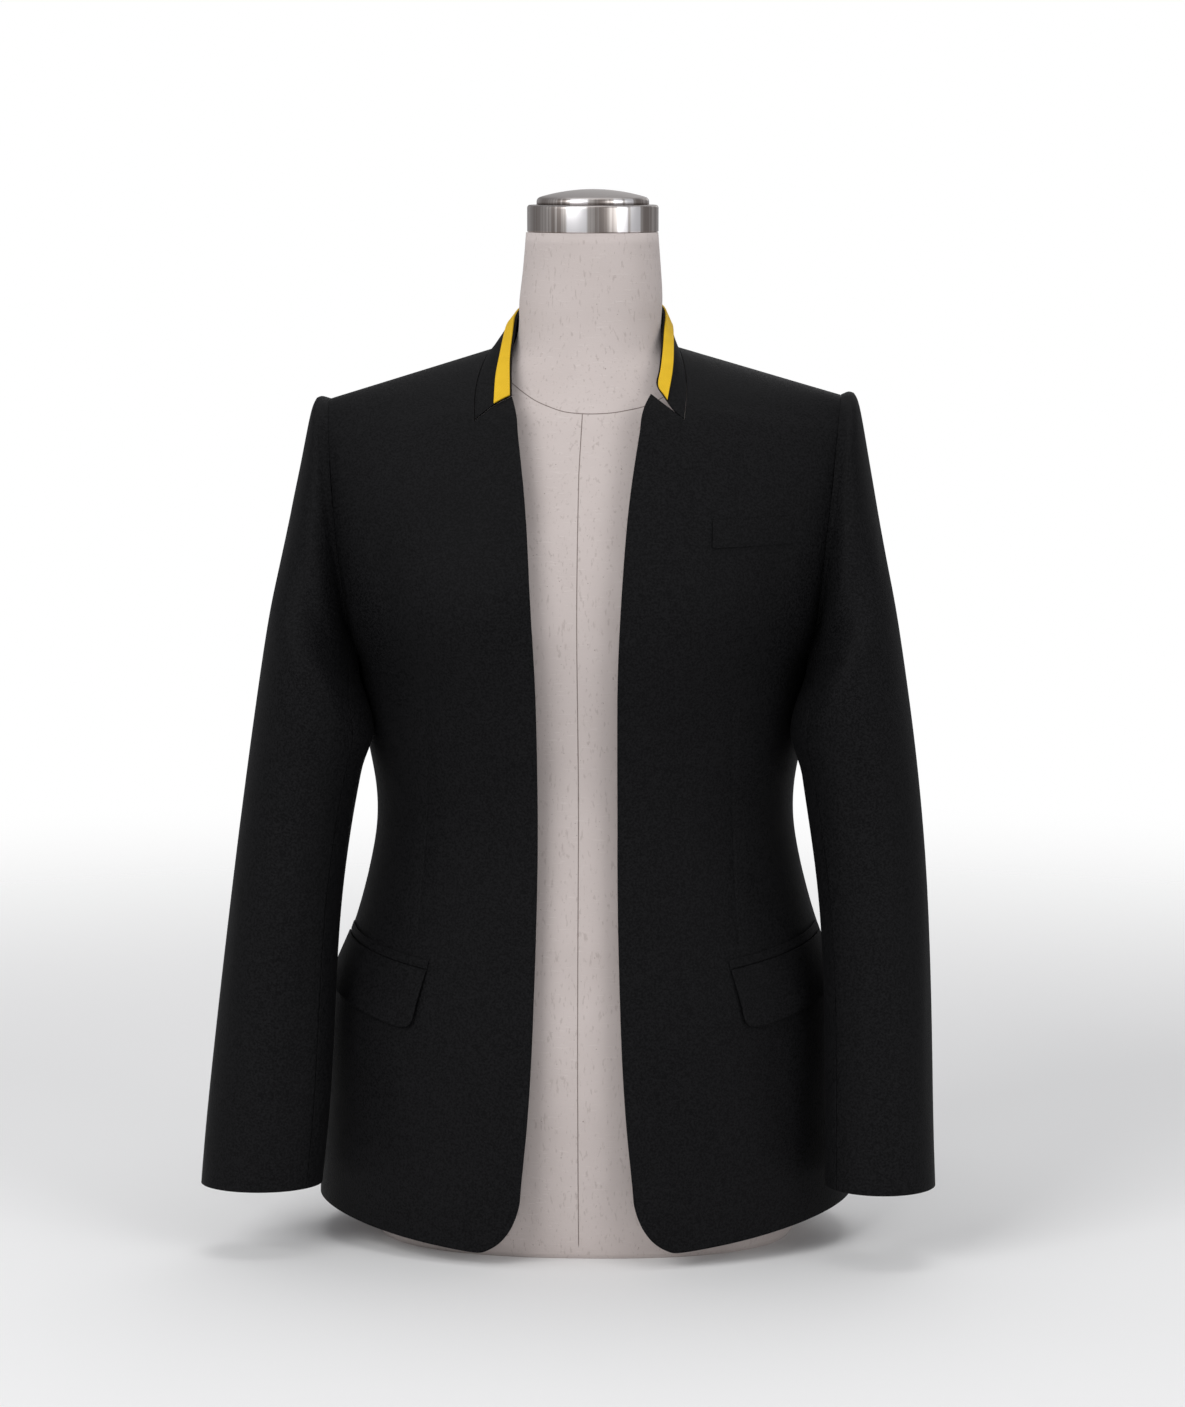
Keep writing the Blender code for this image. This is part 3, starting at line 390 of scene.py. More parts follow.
def steel_finish():
    steel = Finish("spun_steel", Metallic=1.0)
    fine = steel.noise(steel.place((0.02, 0.02, 1.0)), 5200.0, 3.0)
    mottle = steel.noise(steel.place(), 60.0, 3.0)
    spot = steel.add("TexCoord", out="Object")
    x = steel.add("SeparateXYZ", {0: spot}, out=0) - NECK_AXIS[0]
    y = NECK_AXIS[1] - steel.add("SeparateXYZ", {0: spot}, out=1)
    angle = steel.maths("ARCTAN2", x, y) * math.degrees(1.0)
    round_it = steel.add("CombineXYZ", {0: steel.maths("SINE", angle * math.radians(1.0)),
                                        1: steel.maths("COSINE", angle * math.radians(1.0))})
    # Light and dark bands round the neck, from a noise of the angle: painted reflections of the
    # surround in the steel.
    painted_reflection_streaks = steel.step(steel.noise(round_it, 6.5, 3.0, 0.7), 0.40, 0.62)
    base = steel.blend(painted_reflection_streaks, (0.300, 0.262, 0.242, 1.0), (0.600, 0.560, 0.535, 1.0))
    # Bright bands from the table: painted highlights standing in for the lamps seen in the steel.
    for begin, end in PAINTED_REFLECTION_LINES:
        inside = steel.step(angle, begin - 1.0, begin + 1.5)
        inside = inside * (1.0 - steel.step(angle, end - 1.5, end + 1.0))
        base = steel.blend(inside, base, (0.960, 0.940, 0.950, 1.0))
    # Faces that look up are painted darker: painted shade standing in for the dark reflection on the
    # tops. They are also made rougher.
    facing = steel.add("NewGeometry", out="Normal")
    flat = steel.step(steel.add("SeparateXYZ", {0: facing}, out=2), 0.45, 0.85)
    base = steel.blend(flat, base, (0.300, 0.278, 0.270, 1.0))
    return steel.drive(Base_Color=base, Roughness=0.30 + mottle * 0.08 + flat * 0.14,
                       Normal=steel.bump(fine, 0.000004))


spun_steel = steel_finish()
low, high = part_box("cap_band")
radius = (high.x - low.x) / 2
band = [(0.0, high.z), *rounded(radius, high.z, BAND_EDGE, 0, 90),
        *rounded(radius, low.z, BAND_LIP, 90.2, 180), (0.0, low.z)]
neck_band = turned("neck_band", band, spun_steel)
low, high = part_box("cap_disc")
radius = (high.x - low.x) / 2
reach = radius - DISC_EDGE * (1.0 - math.sin(math.radians(DISC_EDGE_START)))
crown = [(reach * share, high.z - DISC_CROWN * share**2)
         for share in np.linspace(0.0, CROWN_REACH, CROWN_RINGS)]
disc = [*crown, *rounded(radius, high.z - DISC_CROWN, DISC_EDGE, DISC_EDGE_START, 90),
        (radius, low.z), (0.0, low.z)]
neck_disc = turned("neck_disc", disc, spun_steel)
for piece, node in ((neck_band, "cap_band"), (neck_disc, "cap_disc")):
    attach(piece, "root")
    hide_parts(node)


# ============================================================ fronts and backs
# Four panels of black fused wool suiting, sewn at the shoulders, the sides and the centre back.
# Each front is shaped by one waist dart that runs into the hip pocket. The hem and the front
# edges are turned under and pressed, and the inside is lined with black satin.
CLOTH_LEVELS = 3
PRESSED_EDGE = 0.00070      # rounding where the cloth turns into a seam or a folded edge
SHARP_TURN = 40.0           # degrees; the outline keeps a corner that turns by more
BODY_GIRTH_RADIUS = 0.150   # the weave is laid round the body at this radius

# Soft creases of the body: the side that they are seen from, the path across that side as
# (x or y, z) points, the depth and the half-width, all in metres. A minus depth is a ridge.
BODY_CREASES = (
    ("front", ((-0.066, 0.600), (-0.090, 0.560), (-0.112, 0.530)), 0.0007, 0.012),
    ("front", ((0.062, 0.606), (0.094, 0.588), (0.128, 0.575)), 0.0006, 0.011),
    ("front", ((-0.150, 0.560), (-0.143, 0.520), (-0.146, 0.470)), 0.0010, 0.010),
    ("front", ((0.152, 0.565), (0.146, 0.515), (0.150, 0.465)), 0.0009, 0.011),
    ("front", ((-0.083, 0.400), (-0.076, 0.330), (-0.080, 0.240)), 0.0006, 0.014),
    ("front", ((0.079, 0.410), (0.072, 0.320), (0.076, 0.250)), 0.0005, 0.015),
    ("front", ((-0.128, 0.345), (-0.145, 0.331), (-0.157, 0.327)), 0.0009, 0.008),
    ("front", ((0.131, 0.356), (0.147, 0.345), (0.158, 0.342)), 0.0008, 0.008),
    ("front", ((-0.092, 0.165), (-0.098, 0.110), (-0.103, 0.030)), 0.0008, 0.017),
    ("front", ((-0.150, 0.160), (-0.158, 0.100), (-0.163, 0.040)), 0.0011, 0.014),
    ("front", ((0.096, 0.170), (0.105, 0.100), (0.110, 0.030)), 0.0008, 0.016),
    ("front", ((0.148, 0.165), (0.156, 0.100), (0.162, 0.040)), 0.0010, 0.014),
    ("back", ((-0.120, 0.560), (-0.112, 0.480), (-0.100, 0.400)), 0.0022, 0.014),
    ("back", ((0.117, 0.570), (0.112, 0.485), (0.098, 0.390)), 0.0020, 0.015),
    ("back", ((-0.062, 0.452), (-0.055, 0.385), (-0.060, 0.320)), 0.0012, 0.013),
    ("back", ((0.056, 0.440), (0.050, 0.380), (0.057, 0.300)), 0.0013, 0.012),
    ("back", ((-0.135, 0.352), (-0.090, 0.338), (-0.030, 0.345)), 0.0016, 0.009),
    ("back", ((0.138, 0.340), (0.088, 0.325), (0.025, 0.336)), 0.0014, 0.010),
    ("back", ((-0.118, 0.318), (-0.085, 0.306), (-0.048, 0.312)), 0.0009, 0.008),
    ("back", ((0.030, 0.662), (0.000, 0.655), (-0.034, 0.663)), 0.0011, 0.009),
    ("back", ((-0.105, 0.180), (-0.112, 0.110), (-0.120, 0.030)), 0.0018, 0.016),
    ("back", ((-0.042, 0.200), (-0.048, 0.120), (-0.052, 0.030)), 0.0012, 0.018),
    ("back", ((0.050, 0.190), (0.055, 0.115), (0.062, 0.030)), 0.0014, 0.017),
    ("back", ((0.118, 0.175), (0.126, 0.100), (0.131, 0.030)), 0.0019, 0.015),
    ("left", ((0.052, 0.400), (0.046, 0.350), (0.050, 0.290)), 0.0009, 0.010),
    ("left", ((0.020, 0.338), (0.045, 0.331), (0.075, 0.336)), 0.0010, 0.008),
    ("right", ((0.050, 0.385), (0.043, 0.340), (0.048, 0.300)), 0.0010, 0.010),
    ("right", ((0.024, 0.326), (0.050, 0.322), (0.072, 0.328)), 0.0009, 0.009),
)
# Direction that a crease sinks in, by the side it is seen from: the axis, and its sign.
INWARD = {"front": (1, 1.0), "back": (1, -1.0), "left": (0, -1.0), "right": (0, 1.0)}
# The creases stay away from the armhole seam, which leans out with the height.
ARMHOLE = (0.1755, 0.1, 0.451)      # x, how much it grows with the height, and the height of that x
ARMHOLE_CALM = (0.003, 0.035)       # creases begin this far from it, and are full at the second
ARMHOLE_FOOT = (0.40, 0.44)         # it starts to count at the first height, in full at the second
CREASE_FACING = (0.005, 0.05)       # a side's creases fade in between these distances from the middle

# Waist darts, seen from ahead, as (x, z) from the tip below the bust to the pocket.
DARTS = {
    "front_right": ((-0.1145, 0.4394), (-0.1144, 0.3871), (-0.1149, 0.3471), (-0.1180, 0.3079),
                    (-0.1206, 0.2756), (-0.1235, 0.2460)),
    "front_left": ((0.1147, 0.4370), (0.1150, 0.3765), (0.1154, 0.3369), (0.1169, 0.2984),
                   (0.1191, 0.2649), (0.1214, 0.2380)),
}
DART_FINE = (0.0060, 0.0028)        # the cells are halved once and once more within these
DART_GROOVE = (0.00050, 0.00065)    # depth and half-width of the stitched line
DART_VALLEY = (0.00045, 0.0045)     # and of the soft valley along it
DART_TIP = 0.012                    # the dart fades in over this length


def regions_of(mesh, turn):
    """Groups of faces that run on smoothly, the largest first."""
    left, groups = set(mesh.faces), []
    while left:
        group = [left.pop()]
        for face in group:
            for edge in face.edges:
                if edge.calc_face_angle(math.pi) < turn:
                    fresh = [other for other in edge.link_faces if other in left]
                    left.difference_update(fresh)
                    group.extend(fresh)
        groups.append(group)
    return sorted(groups, key=lambda group: -sum(face.calc_area() for face in group))


def diagonals_of(group):
    """Edges that split a skin's four-sided cells, told by their direction across the grid."""
    def squareness(face):
        a, b, c = sorted(edge.calc_length() for edge in face.edges)
        return abs(c * c - a * a - b * b) / (c * c) + 0.5 * (1.0 - a / b)

    def between(face, first, second):
        return next(e for e in face.edges if set(e.verts) == {first, second})

    seed = min(group, key=squareness)
    kinds = {edge: k for k, edge in enumerate(sorted(seed.edges, key=lambda e: e.calc_length()))}
    inside, seen, line = set(group), {seed}, [seed]
    for face in line:
        for edge in face.edges:
            for other in edge.link_faces:
                if other in seen or other not in inside:
                    continue
                a, b = edge.verts
                c = next(v for v in face.verts if v not in edge.verts)
                d = next(v for v in other.verts if v not in edge.verts)
                kinds[between(other, a, d)] = kinds[between(face, b, c)]
                kinds[between(other, b, d)] = kinds[between(face, a, c)]
                seen.add(other)
                line.append(other)
    return [edge for edge, kind in kinds.items()
            if kind == 2 and all(face in inside for face in edge.link_faces)]


def cloth_cage(node, corner=SHARP_TURN):
    """A packed cloth wall as four-sided cells: creased along its rims, its inner skin marked."""
    cage = merged(node)
    skins = regions_of(cage, math.radians(SHARP_TURN))[:2]
    middle = Vector(np.mean([vert.co for vert in cage.verts], axis=0))
    if "sleeve" not in node:
        middle.x = middle.y = 0.0
    skins.sort(key=lambda skin: sum(f.normal.dot(f.calc_center_median() - middle) * f.calc_area()
                                    for f in skin))
    for face in skins[0]:
        face.material_index = 1
    lines = [edge for skin in skins for edge in diagonals_of(skin)]
    bmesh.ops.dissolve_edges(cage, edges=lines, use_verts=False)
    rims = [face for face in cage.faces if len(face.verts) == 3]
    bmesh.ops.join_triangles(cage, faces=rims, angle_face_threshold=math.pi,
                             angle_shape_threshold=math.pi)
    crease = cage.edges.layers.float.new("crease_edge")
    for edge in cage.edges:
        odd = any(len(face.verts) != 4 for face in edge.link_faces)
        marks = {face.material_index for face in edge.link_faces}
        limit = SHARP_TURN if len(marks) > 1 or odd else corner
        if edge.calc_face_angle(0.0) > math.radians(limit):
            edge[crease] = 1.0
    return cage


def path_distance(points, path):
    """Distance of each point from a path, and how far along the path it is, from 0 to 1."""
    path = np.array(path, float)
    lengths = np.linalg.norm(np.diff(path, axis=0), axis=1)
    ends = np.concatenate([[0.0], np.cumsum(lengths)])
    best = np.full(len(points), np.inf)
    along = np.zeros(len(points))
    for k, (start, end) in enumerate(zip(path, path[1:])):
        share = np.clip((points - start) @ (end - start) / lengths[k]**2, 0.0, 1.0)
        away = np.linalg.norm(points - start - share[:, None] * (end - start), axis=1)
        nearer = away < best
        best[nearer] = away[nearer]
        along[nearer] = (ends[k] + share[nearer] * lengths[k]) / ends[-1]
    return best, along


def rounded_path(path, passes=3):
    """The same path with its corners cut, ends kept."""
    path = np.array(path, float)
    for _ in range(passes):
        quarter, three = 0.75 * path[:-1] + 0.25 * path[1:], 0.25 * path[:-1] + 0.75 * path[1:]
        middle = np.stack([quarter, three], axis=1).reshape(-1, 2)
        path = np.vstack([path[:1], middle[1:-1], path[-1:]])
    return path


def crease_depth(points, path, depth, width):
    """How deep a soft crease is at each point: a trough with low ridges, fading at its ends."""
    away, along = path_distance(points, rounded_path(path))
    share = (away / width)**2
    ends = np.sin(math.pi * np.clip(along, 0.04, 0.96))**0.8
    return depth * (1.0 - 0.55 * share) * np.exp(-share) * ends


def soft_step(value, low, high):
    share = np.clip((value - low) / (high - low), 0.0, 1.0)
    return share * share * (3.0 - 2.0 * share)


def crease_body(points):
    """Lay the body's creases into points of any piece of the body."""
    x, y, z = points.T
    reach, growth, level = ARMHOLE
    off_armhole = reach + growth * (z - level) - np.abs(x)
    calm = np.where(z > ARMHOLE_FOOT[0], soft_step(off_armhole, *ARMHOLE_CALM), 1.0)
    beside = soft_step(z, *ARMHOLE_FOOT)
    calm = calm * beside + (1.0 - beside)
    moved = points.copy()
    for side, path, depth, width in BODY_CREASES:
        axis, sign = INWARD[side]
        seen = np.stack([x if axis == 1 else y, z], axis=1)
        facing = soft_step(-sign * (y if axis == 1 else x), *CREASE_FACING)
        moved[:, axis] += sign * calm * facing * crease_depth(seen, path, depth, width)
    return moved


def lay_grain(data, around, up):
    """UV map in metres that the weave follows: the way round the piece, and up it."""
    corners = np.zeros(len(data.loops), dtype=int)
    data.loops.foreach_get("vertex_index", corners)
    grain = data.uv_layers.new(name="grain")
    grain.data.foreach_set("uv", np.stack([around[corners], up[corners]], axis=1).ravel())


def rolled(name, data, size, *finishes):
    """Round a cloth wall's sharp edges, as pressing does, and put the piece in the scene."""
    piece = add_piece(name, data, *finishes)
    edge = piece.modifiers.new("pressed edge", "BEVEL")
    edge.width = size
    edge.segments = 2
    edge.limit_method = "ANGLE"
    edge.angle_limit = math.radians(50)
    return add_piece(name, made_plain(piece), *finishes)


def wear(piece, node):
    """Hang a cloth piece on the root, and hide the solid that it stands for."""
    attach(piece, "root")
    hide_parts(node)


def suiting_finish():
    wool = Finish("wool_suiting", Specular_IOR_Level=0.062, Sheen_Weight=0.006, Sheen_Roughness=0.4)
    grain = wool.add("UVMap", uv_map="grain")
    spot = wool.place()
    cloudy = wool.noise(spot, 14.0, 4.0)
    pile = wool.step(wool.noise(spot, 620.0, 3.0, 0.7), 0.38, 0.62)
    slanted = wool.add("Mapping", {"Vector": grain, "Rotation": (0.0, 0.0, 1.1)})
    twill = wool.add("TexWave", {"Vector": slanted, "Scale": 280.0, "Distortion": 0.6,
                                 "Detail": 1.0}, out=1)
    base = wool.blend(cloudy * 0.25 + pile * 0.75, (0.0016, 0.0016, 0.0019, 1.0),
                      (0.0096, 0.0096, 0.0104, 1.0))
    height = twill * 0.000035 + pile * 0.00012
    return wool.drive(Base_Color=base, Roughness=0.50 + cloudy * 0.10 + pile * 0.12,
                      Normal=wool.bump(height, 1.0))


def lining_finish():
    satin = Finish("satin_lining", Specular_IOR_Level=0.15)
    cloudy = satin.noise(satin.place((1.0, 1.0, 0.3)), 30.0, 3.0)
    threads = satin.noise(satin.place((1.0, 1.0, 0.02)), 3000.0)
    base = satin.blend(cloudy, (0.0040, 0.0040, 0.0046, 1.0), (0.0075, 0.0075, 0.0084, 1.0))
    return satin.drive(Base_Color=base, Roughness=0.34 + cloudy * 0.12,
                       Normal=satin.bump(threads, 0.00004))


def cut_dart(data, path):
    """Sink a waist dart's stitched line into a front's outer face, in cells made fine along it."""
    path = rounded_path(path)
    mesh = bmesh.new()
    mesh.from_mesh(data)
    for reach in DART_FINE:
        near = set()
        seen = np.array([(vert.co.x, vert.co.z) for vert in mesh.verts])
        away, _ = path_distance(seen, path)
        for vert, far in zip(mesh.verts, away):
            if far < reach and vert.normal.y < -0.3:
                near.add(vert)
        edges = [edge for edge in mesh.edges if edge.verts[0] in near and edge.verts[1] in near]
        bmesh.ops.subdivide_edges(mesh, edges=edges, cuts=1, use_grid_fill=True)
    seen = np.array([(vert.co.x, vert.co.z) for vert in mesh.verts])
    away, along = path_distance(seen, path)
    length = np.linalg.norm(np.diff(path, axis=0), axis=1).sum()
    fade = soft_step(along * length, 0.0, DART_TIP) * (1.0 - soft_step(along, 0.97, 1.0))
    sink = sum(depth * np.exp(-(away / width)**2) for depth, width in (DART_GROOVE, DART_VALLEY))
    for vert, depth in zip(mesh.verts, sink * fade):
        if depth > 1e-6 and vert.co.y < 0.0:
            vert.co.y += depth
    mesh.to_mesh(data)
    mesh.free()


def body_panel(node):
    """One front or back: smoothed, creased, darted, with its weave laid and its edges pressed."""
    data = smoothed(node, cloth_cage(node), CLOTH_LEVELS)
    move_points(data, crease_body(points_of(data)))
    if node in DARTS:
        cut_dart(data, DARTS[node])
    x, y, z = points_of(data).T
    lay_grain(data, np.arctan2(x, -y) * BODY_GIRTH_RADIUS, z)
    return rolled(node + "_panel", data, PRESSED_EDGE, wool_suiting, satin_lining)


wool_suiting = suiting_finish()
satin_lining = lining_finish()
wear(body_panel("front_right"), "front_right")
wear(body_panel("front_left"), "front_left")
wear(body_panel("back_right"), "back_right")
wear(body_panel("back_left"), "back_left")


# ============================================================ sleeves
# Two-piece sleeves of the same suiting, set into the armholes over a little wadding, so that the
# head stands up just past the shoulder. They hang empty, with a soft crease here and there.
ARM_GIRTH_RADIUS = 0.050
SEAM_REACH = 0.0009         # rims closer than this to the body are its seam
SEAM_GAP = 0.00045          # and are drawn to it by this much

# Middle line of each arm: height, x from the middle outwards, y.
ARM_SLOPE = 0.010           # the heights along an arm change by this share of x
ARM_LINES = {
    "right": ((0.056, 0.2444, -0.082), (0.173, 0.2347, -0.068), (0.267, 0.2269, -0.057),
              (0.349, 0.2162, -0.050), (0.420, 0.2065, -0.048), (0.520, 0.1980, -0.016),
              (0.660, 0.1950, 0.0)),
    "left": ((0.057, 0.2288, -0.091), (0.173, 0.2266, -0.076), (0.267, 0.2228, -0.061),
             (0.349, 0.2141, -0.051), (0.420, 0.2065, -0.048), (0.520, 0.1980, -0.016),
             (0.660, 0.1950, 0.0)),
}
# Where a hanging sleeve leans on the body: degrees round the arm, its half-width, the heights
# between which it leans, and how far.
ARM_LEAN = (170.0, 38.0, (0.366, 0.404, 0.462, 0.492), 0.0066)
# A sleeve's creases fade out towards the body, so that it still meets it.
BODY_SIDE = (0.178, 0.200)          # from the middle: none at the first, full at the second
BODY_SIDE_FROM = (0.36, 0.40, 0.44)     # heights: the fade's start, its first use and its end
SHUT_FROM = (0.33, 0.37)            # above these heights there are none
SHUT_PAST = (95.0, 130.0)           # past these degrees round the arm
# Soft creases of each sleeve: a path of (degrees round the arm, z), depth and half-width. 0 is
# away from the body, 90 the front, -90 the back and 180 next to the body.
SLEEVE_CREASES = {
    "right": (
        (((60, 0.470), (95, 0.430), (135, 0.400)), 0.0013, 0.012),
        (((40, 0.560), (70, 0.500), (110, 0.455)), 0.0010, 0.012),
        (((70, 0.385), (105, 0.360), (150, 0.352)), 0.0014, 0.010),
        (((60, 0.335), (110, 0.322), (150, 0.330)), 0.0009, 0.008),
        (((118, 0.330), (122, 0.220), (126, 0.090)), 0.0014, 0.014),
        (((20, 0.300), (28, 0.200), (30, 0.090)), 0.0007, 0.016),
        (((-60, 0.480), (-92, 0.420), (-120, 0.390)), 0.0016, 0.013),
        (((-50, 0.360), (-100, 0.345), (-150, 0.352)), 0.0018, 0.011),
        (((-70, 0.310), (-110, 0.300), (-150, 0.312)), 0.0012, 0.009),
        (((-95, 0.250), (-100, 0.170), (-98, 0.080)), 0.0012, 0.014),
        (((-35, 0.560), (-60, 0.510), (-85, 0.470)), 0.0010, 0.012),
    ),
    "left": (
        (((58, 0.480), (92, 0.438), (130, 0.408)), 0.0011, 0.013),
        (((36, 0.570), (64, 0.512), (104, 0.462)), 0.0011, 0.011),
        (((75, 0.378), (110, 0.352), (150, 0.345)), 0.0013, 0.009),
        (((55, 0.345), (100, 0.330), (140, 0.337)), 0.0008, 0.009),
        (((112, 0.320), (118, 0.210), (121, 0.085)), 0.0012, 0.015),
        (((14, 0.290), (22, 0.190), (25, 0.085)), 0.0008, 0.015),
        (((-55, 0.470), (-88, 0.412), (-116, 0.380)), 0.0017, 0.012),
        (((-45, 0.352), (-96, 0.338), (-146, 0.344)), 0.0016, 0.012),
        (((-75, 0.300), (-112, 0.292), (-148, 0.300)), 0.0013, 0.008),
        (((-90, 0.240), (-96, 0.160), (-95, 0.075)), 0.0011, 0.015),
        (((-30, 0.550), (-56, 0.500), (-80, 0.462)), 0.0011, 0.013),
    ),
}


def arm_places(points, arm):
    """Degrees round the arm, and the outward direction, of each point."""
    side = -1.0 if arm == "right" else 1.0
    line = np.array(ARM_LINES[arm])
    height = points[:, 2] - ARM_SLOPE * points[:, 0]
    out = side * points[:, 0] - np.interp(height, line[:, 0], line[:, 1])
    ahead = -(points[:, 1] - np.interp(height, line[:, 0], line[:, 2]))
    reach = np.maximum(np.hypot(out, ahead), 1e-6)
    away = np.stack([side * out / reach, -ahead / reach, np.zeros(len(out))], axis=1)
    return np.degrees(np.arctan2(ahead, out)), away


def crease_sleeve(points, arm):
    """Lay a sleeve's creases into its points, but not where it meets the body."""
    degrees, away = arm_places(points, arm)
    begin, used, end = BODY_SIDE_FROM
    calm = soft_step(np.abs(points[:, 0]), *BODY_SIDE)
    calm = np.where(points[:, 2] < used, 1.0, calm)
    calm = calm + (1.0 - calm) * (1.0 - soft_step(points[:, 2], begin, end))
    shut = soft_step(points[:, 2], *SHUT_FROM) * soft_step(np.abs(degrees), *SHUT_PAST)
    calm = calm * (1.0 - shut)
    depth = np.zeros(len(points))
    for path, deep, width in SLEEVE_CREASES[arm]:
        reach = np.radians(1.0) * ARM_GIRTH_RADIUS
        line = [(angle * reach, height) for angle, height in path]
        for turn in (-360.0, 0.0, 360.0):
            seen = np.stack([(degrees + turn) * reach, points[:, 2]], axis=1)
            depth += crease_depth(seen, line, deep, width)
    angle, spread, (low, lean_low, lean_high, high), lean = ARM_LEAN
    off = (degrees - angle + 180.0) % 360.0 - 180.0
    lean = lean * np.exp(-(off / spread)**2) * soft_step(points[:, 2], low, lean_low)
    lean = lean * (1.0 - soft_step(points[:, 2], lean_high, high))
    moved = points - away * (depth * calm)[:, None]
    moved[:, 0] += lean if arm == "right" else -lean
    return moved


def sewn_to(cage, nodes):
    """Draw a cage's rim across the seam's gap to the solids that it is sewn to."""
    skins = [BVHTree.FromBMesh(merged(node)) for node in nodes]
    for vert in cage.verts:
        for skin in skins:
            there, _, _, far = skin.find_nearest(vert.co, SEAM_REACH)
            if there is not None:
                vert.co += (there - vert.co) * (min(far, SEAM_GAP) / far)
                break
    return cage


def sleeve_piece(half, arm):
    """Top or under half of a sleeve."""
    node = f"{half}_sleeve_{arm}"
    cage = sewn_to(cloth_cage(node), (f"front_{arm}", f"back_{arm}"))
    data = smoothed(node, cage, CLOTH_LEVELS)
    points = crease_sleeve(points_of(data), arm)
    move_points(data, points)
    degrees, _ = arm_places(points, arm)
    lay_grain(data, np.radians(degrees) * ARM_GIRTH_RADIUS, points[:, 2])
    return rolled(node + "_panel", data, PRESSED_EDGE, wool_suiting, satin_lining)


for half, arm, flat, area in (("top", "right", (0.2228, 0.6138), 0.1101),
                              ("top", "left", (0.2233, 0.6125), 0.1087),
                              ("under", "right", (0.1508, 0.5176), 0.0423),
                              ("under", "left", (0.1460, 0.5182), 0.0420)):
    wear(sleeve_piece(half, arm), f"{half}_sleeve_{arm}")


# ============================================================ collar band and yellow strip
# A narrow stand band of the suiting follows the neckline, and a folded strip of yellow ribbon
# is edge-stitched on its upper half. The band's ends meet the fronts in a notch.
STRIP_EDGE = 0.00035
NECK_GIRTH_RADIUS = 0.070
STRIP_COLUMN = 3            # points up each column of the strip's grid
STITCH_INSET = 0.0013       # the edge stitching's distance from the strip's edges
STITCH_END = 0.12           # and from its ends, as a share of the strip's first and last cell
STITCH_SHARES = (0.0, 0.25, 0.5, 0.75)  # places in each cell where the line is laid on the ribbon
STITCH_LENGTH = 0.0021
STITCH_PITCH = 0.0029
THREAD_RADIUS = 0.00022


def ribbon_finish():
    ribbon = Finish("yellow_ribbon_weave", Specular_IOR_Level=0.12)
    grain = ribbon.add("UVMap", uv_map="grain")
    cloudy = ribbon.noise(ribbon.place(), 70.0, 3.0)
    ribs = ribbon.add("TexWave", {"Vector": grain, "Scale": 260.0, "Distortion": 0.4,
                                  "Detail": 1.0}, out=1, bands_direction="X")
    base = ribbon.blend(cloudy, (0.600, 0.365, 0.009, 1.0), (0.760, 0.490, 0.022, 1.0))
    base = ribbon.blend(ribs * 0.16, base, (0.480, 0.270, 0.006, 1.0))
    return ribbon.drive(Base_Color=base, Roughness=0.50 + cloudy * 0.12,
                        Normal=ribbon.bump(ribs, 0.00006))


def collar_piece(node, size, *finishes):
    data = smoothed(node, cloth_cage(node), CLOTH_LEVELS)
    x, y, z = points_of(data).T
    angles = np.arctan2(x - NECK_AXIS[0], NECK_AXIS[1] - y)
    lay_grain(data, angles * NECK_GIRTH_RADIUS, z)
    return rolled(node + "_cloth", data, size, *finishes)


def thread_finish():
    thread = Finish("yellow_thread", Specular_IOR_Level=0.2, Roughness=0.45)
    cloudy = thread.noise(thread.place(), 900.0, 2.0)
    base = thread.blend(cloudy, (0.640, 0.390, 0.012, 1.0), (0.860, 0.570, 0.035, 1.0))
    return thread.drive(Base_Color=base)


def stitch_lines():
    """Two paths of points on the strip's outer face, a little in from its edges."""
    cage = merged("collar_strip")
    skins = regions_of(cage, math.radians(SHARP_TURN))[:2]
    axis = Vector(NECK_AXIS)
    outer = max(skins, key=lambda skin: sum((f.calc_center_median().xy - axis).dot(f.normal.xy)
                                            for f in skin))
    points = [vert.co.copy() for vert in {vert for face in outer for vert in face.verts}]
    cage.free()
    points.sort(key=lambda p: math.atan2(p.x - NECK_AXIS[0], p.y - NECK_AXIS[1]))
    columns = [sorted(points[k:k + STRIP_COLUMN], key=lambda p: p.z)
               for k in range(0, len(points), STRIP_COLUMN)]
    skin = BVHTree.FromObject(bpy.data.objects["collar_strip_cloth"],
                              bpy.context.evaluated_depsgraph_get())
    lines = []
    for start, towards in ((0, 1), (-1, -2)):
        knots = []
        for column in columns:
            edge, middle = column[start], column[towards]
            knots.append(edge.lerp(middle, STITCH_INSET / (edge - middle).length))
        knots = [knots[0].lerp(knots[1], STITCH_END), *knots[1:-1],
                 knots[-1].lerp(knots[-2], STITCH_END)]
        line = [skin.find_nearest(first.lerp(second, share))[0]
                for first, second in zip(knots, knots[1:]) for share in STITCH_SHARES]
        lines.append((np.array(line), False))
    return lines


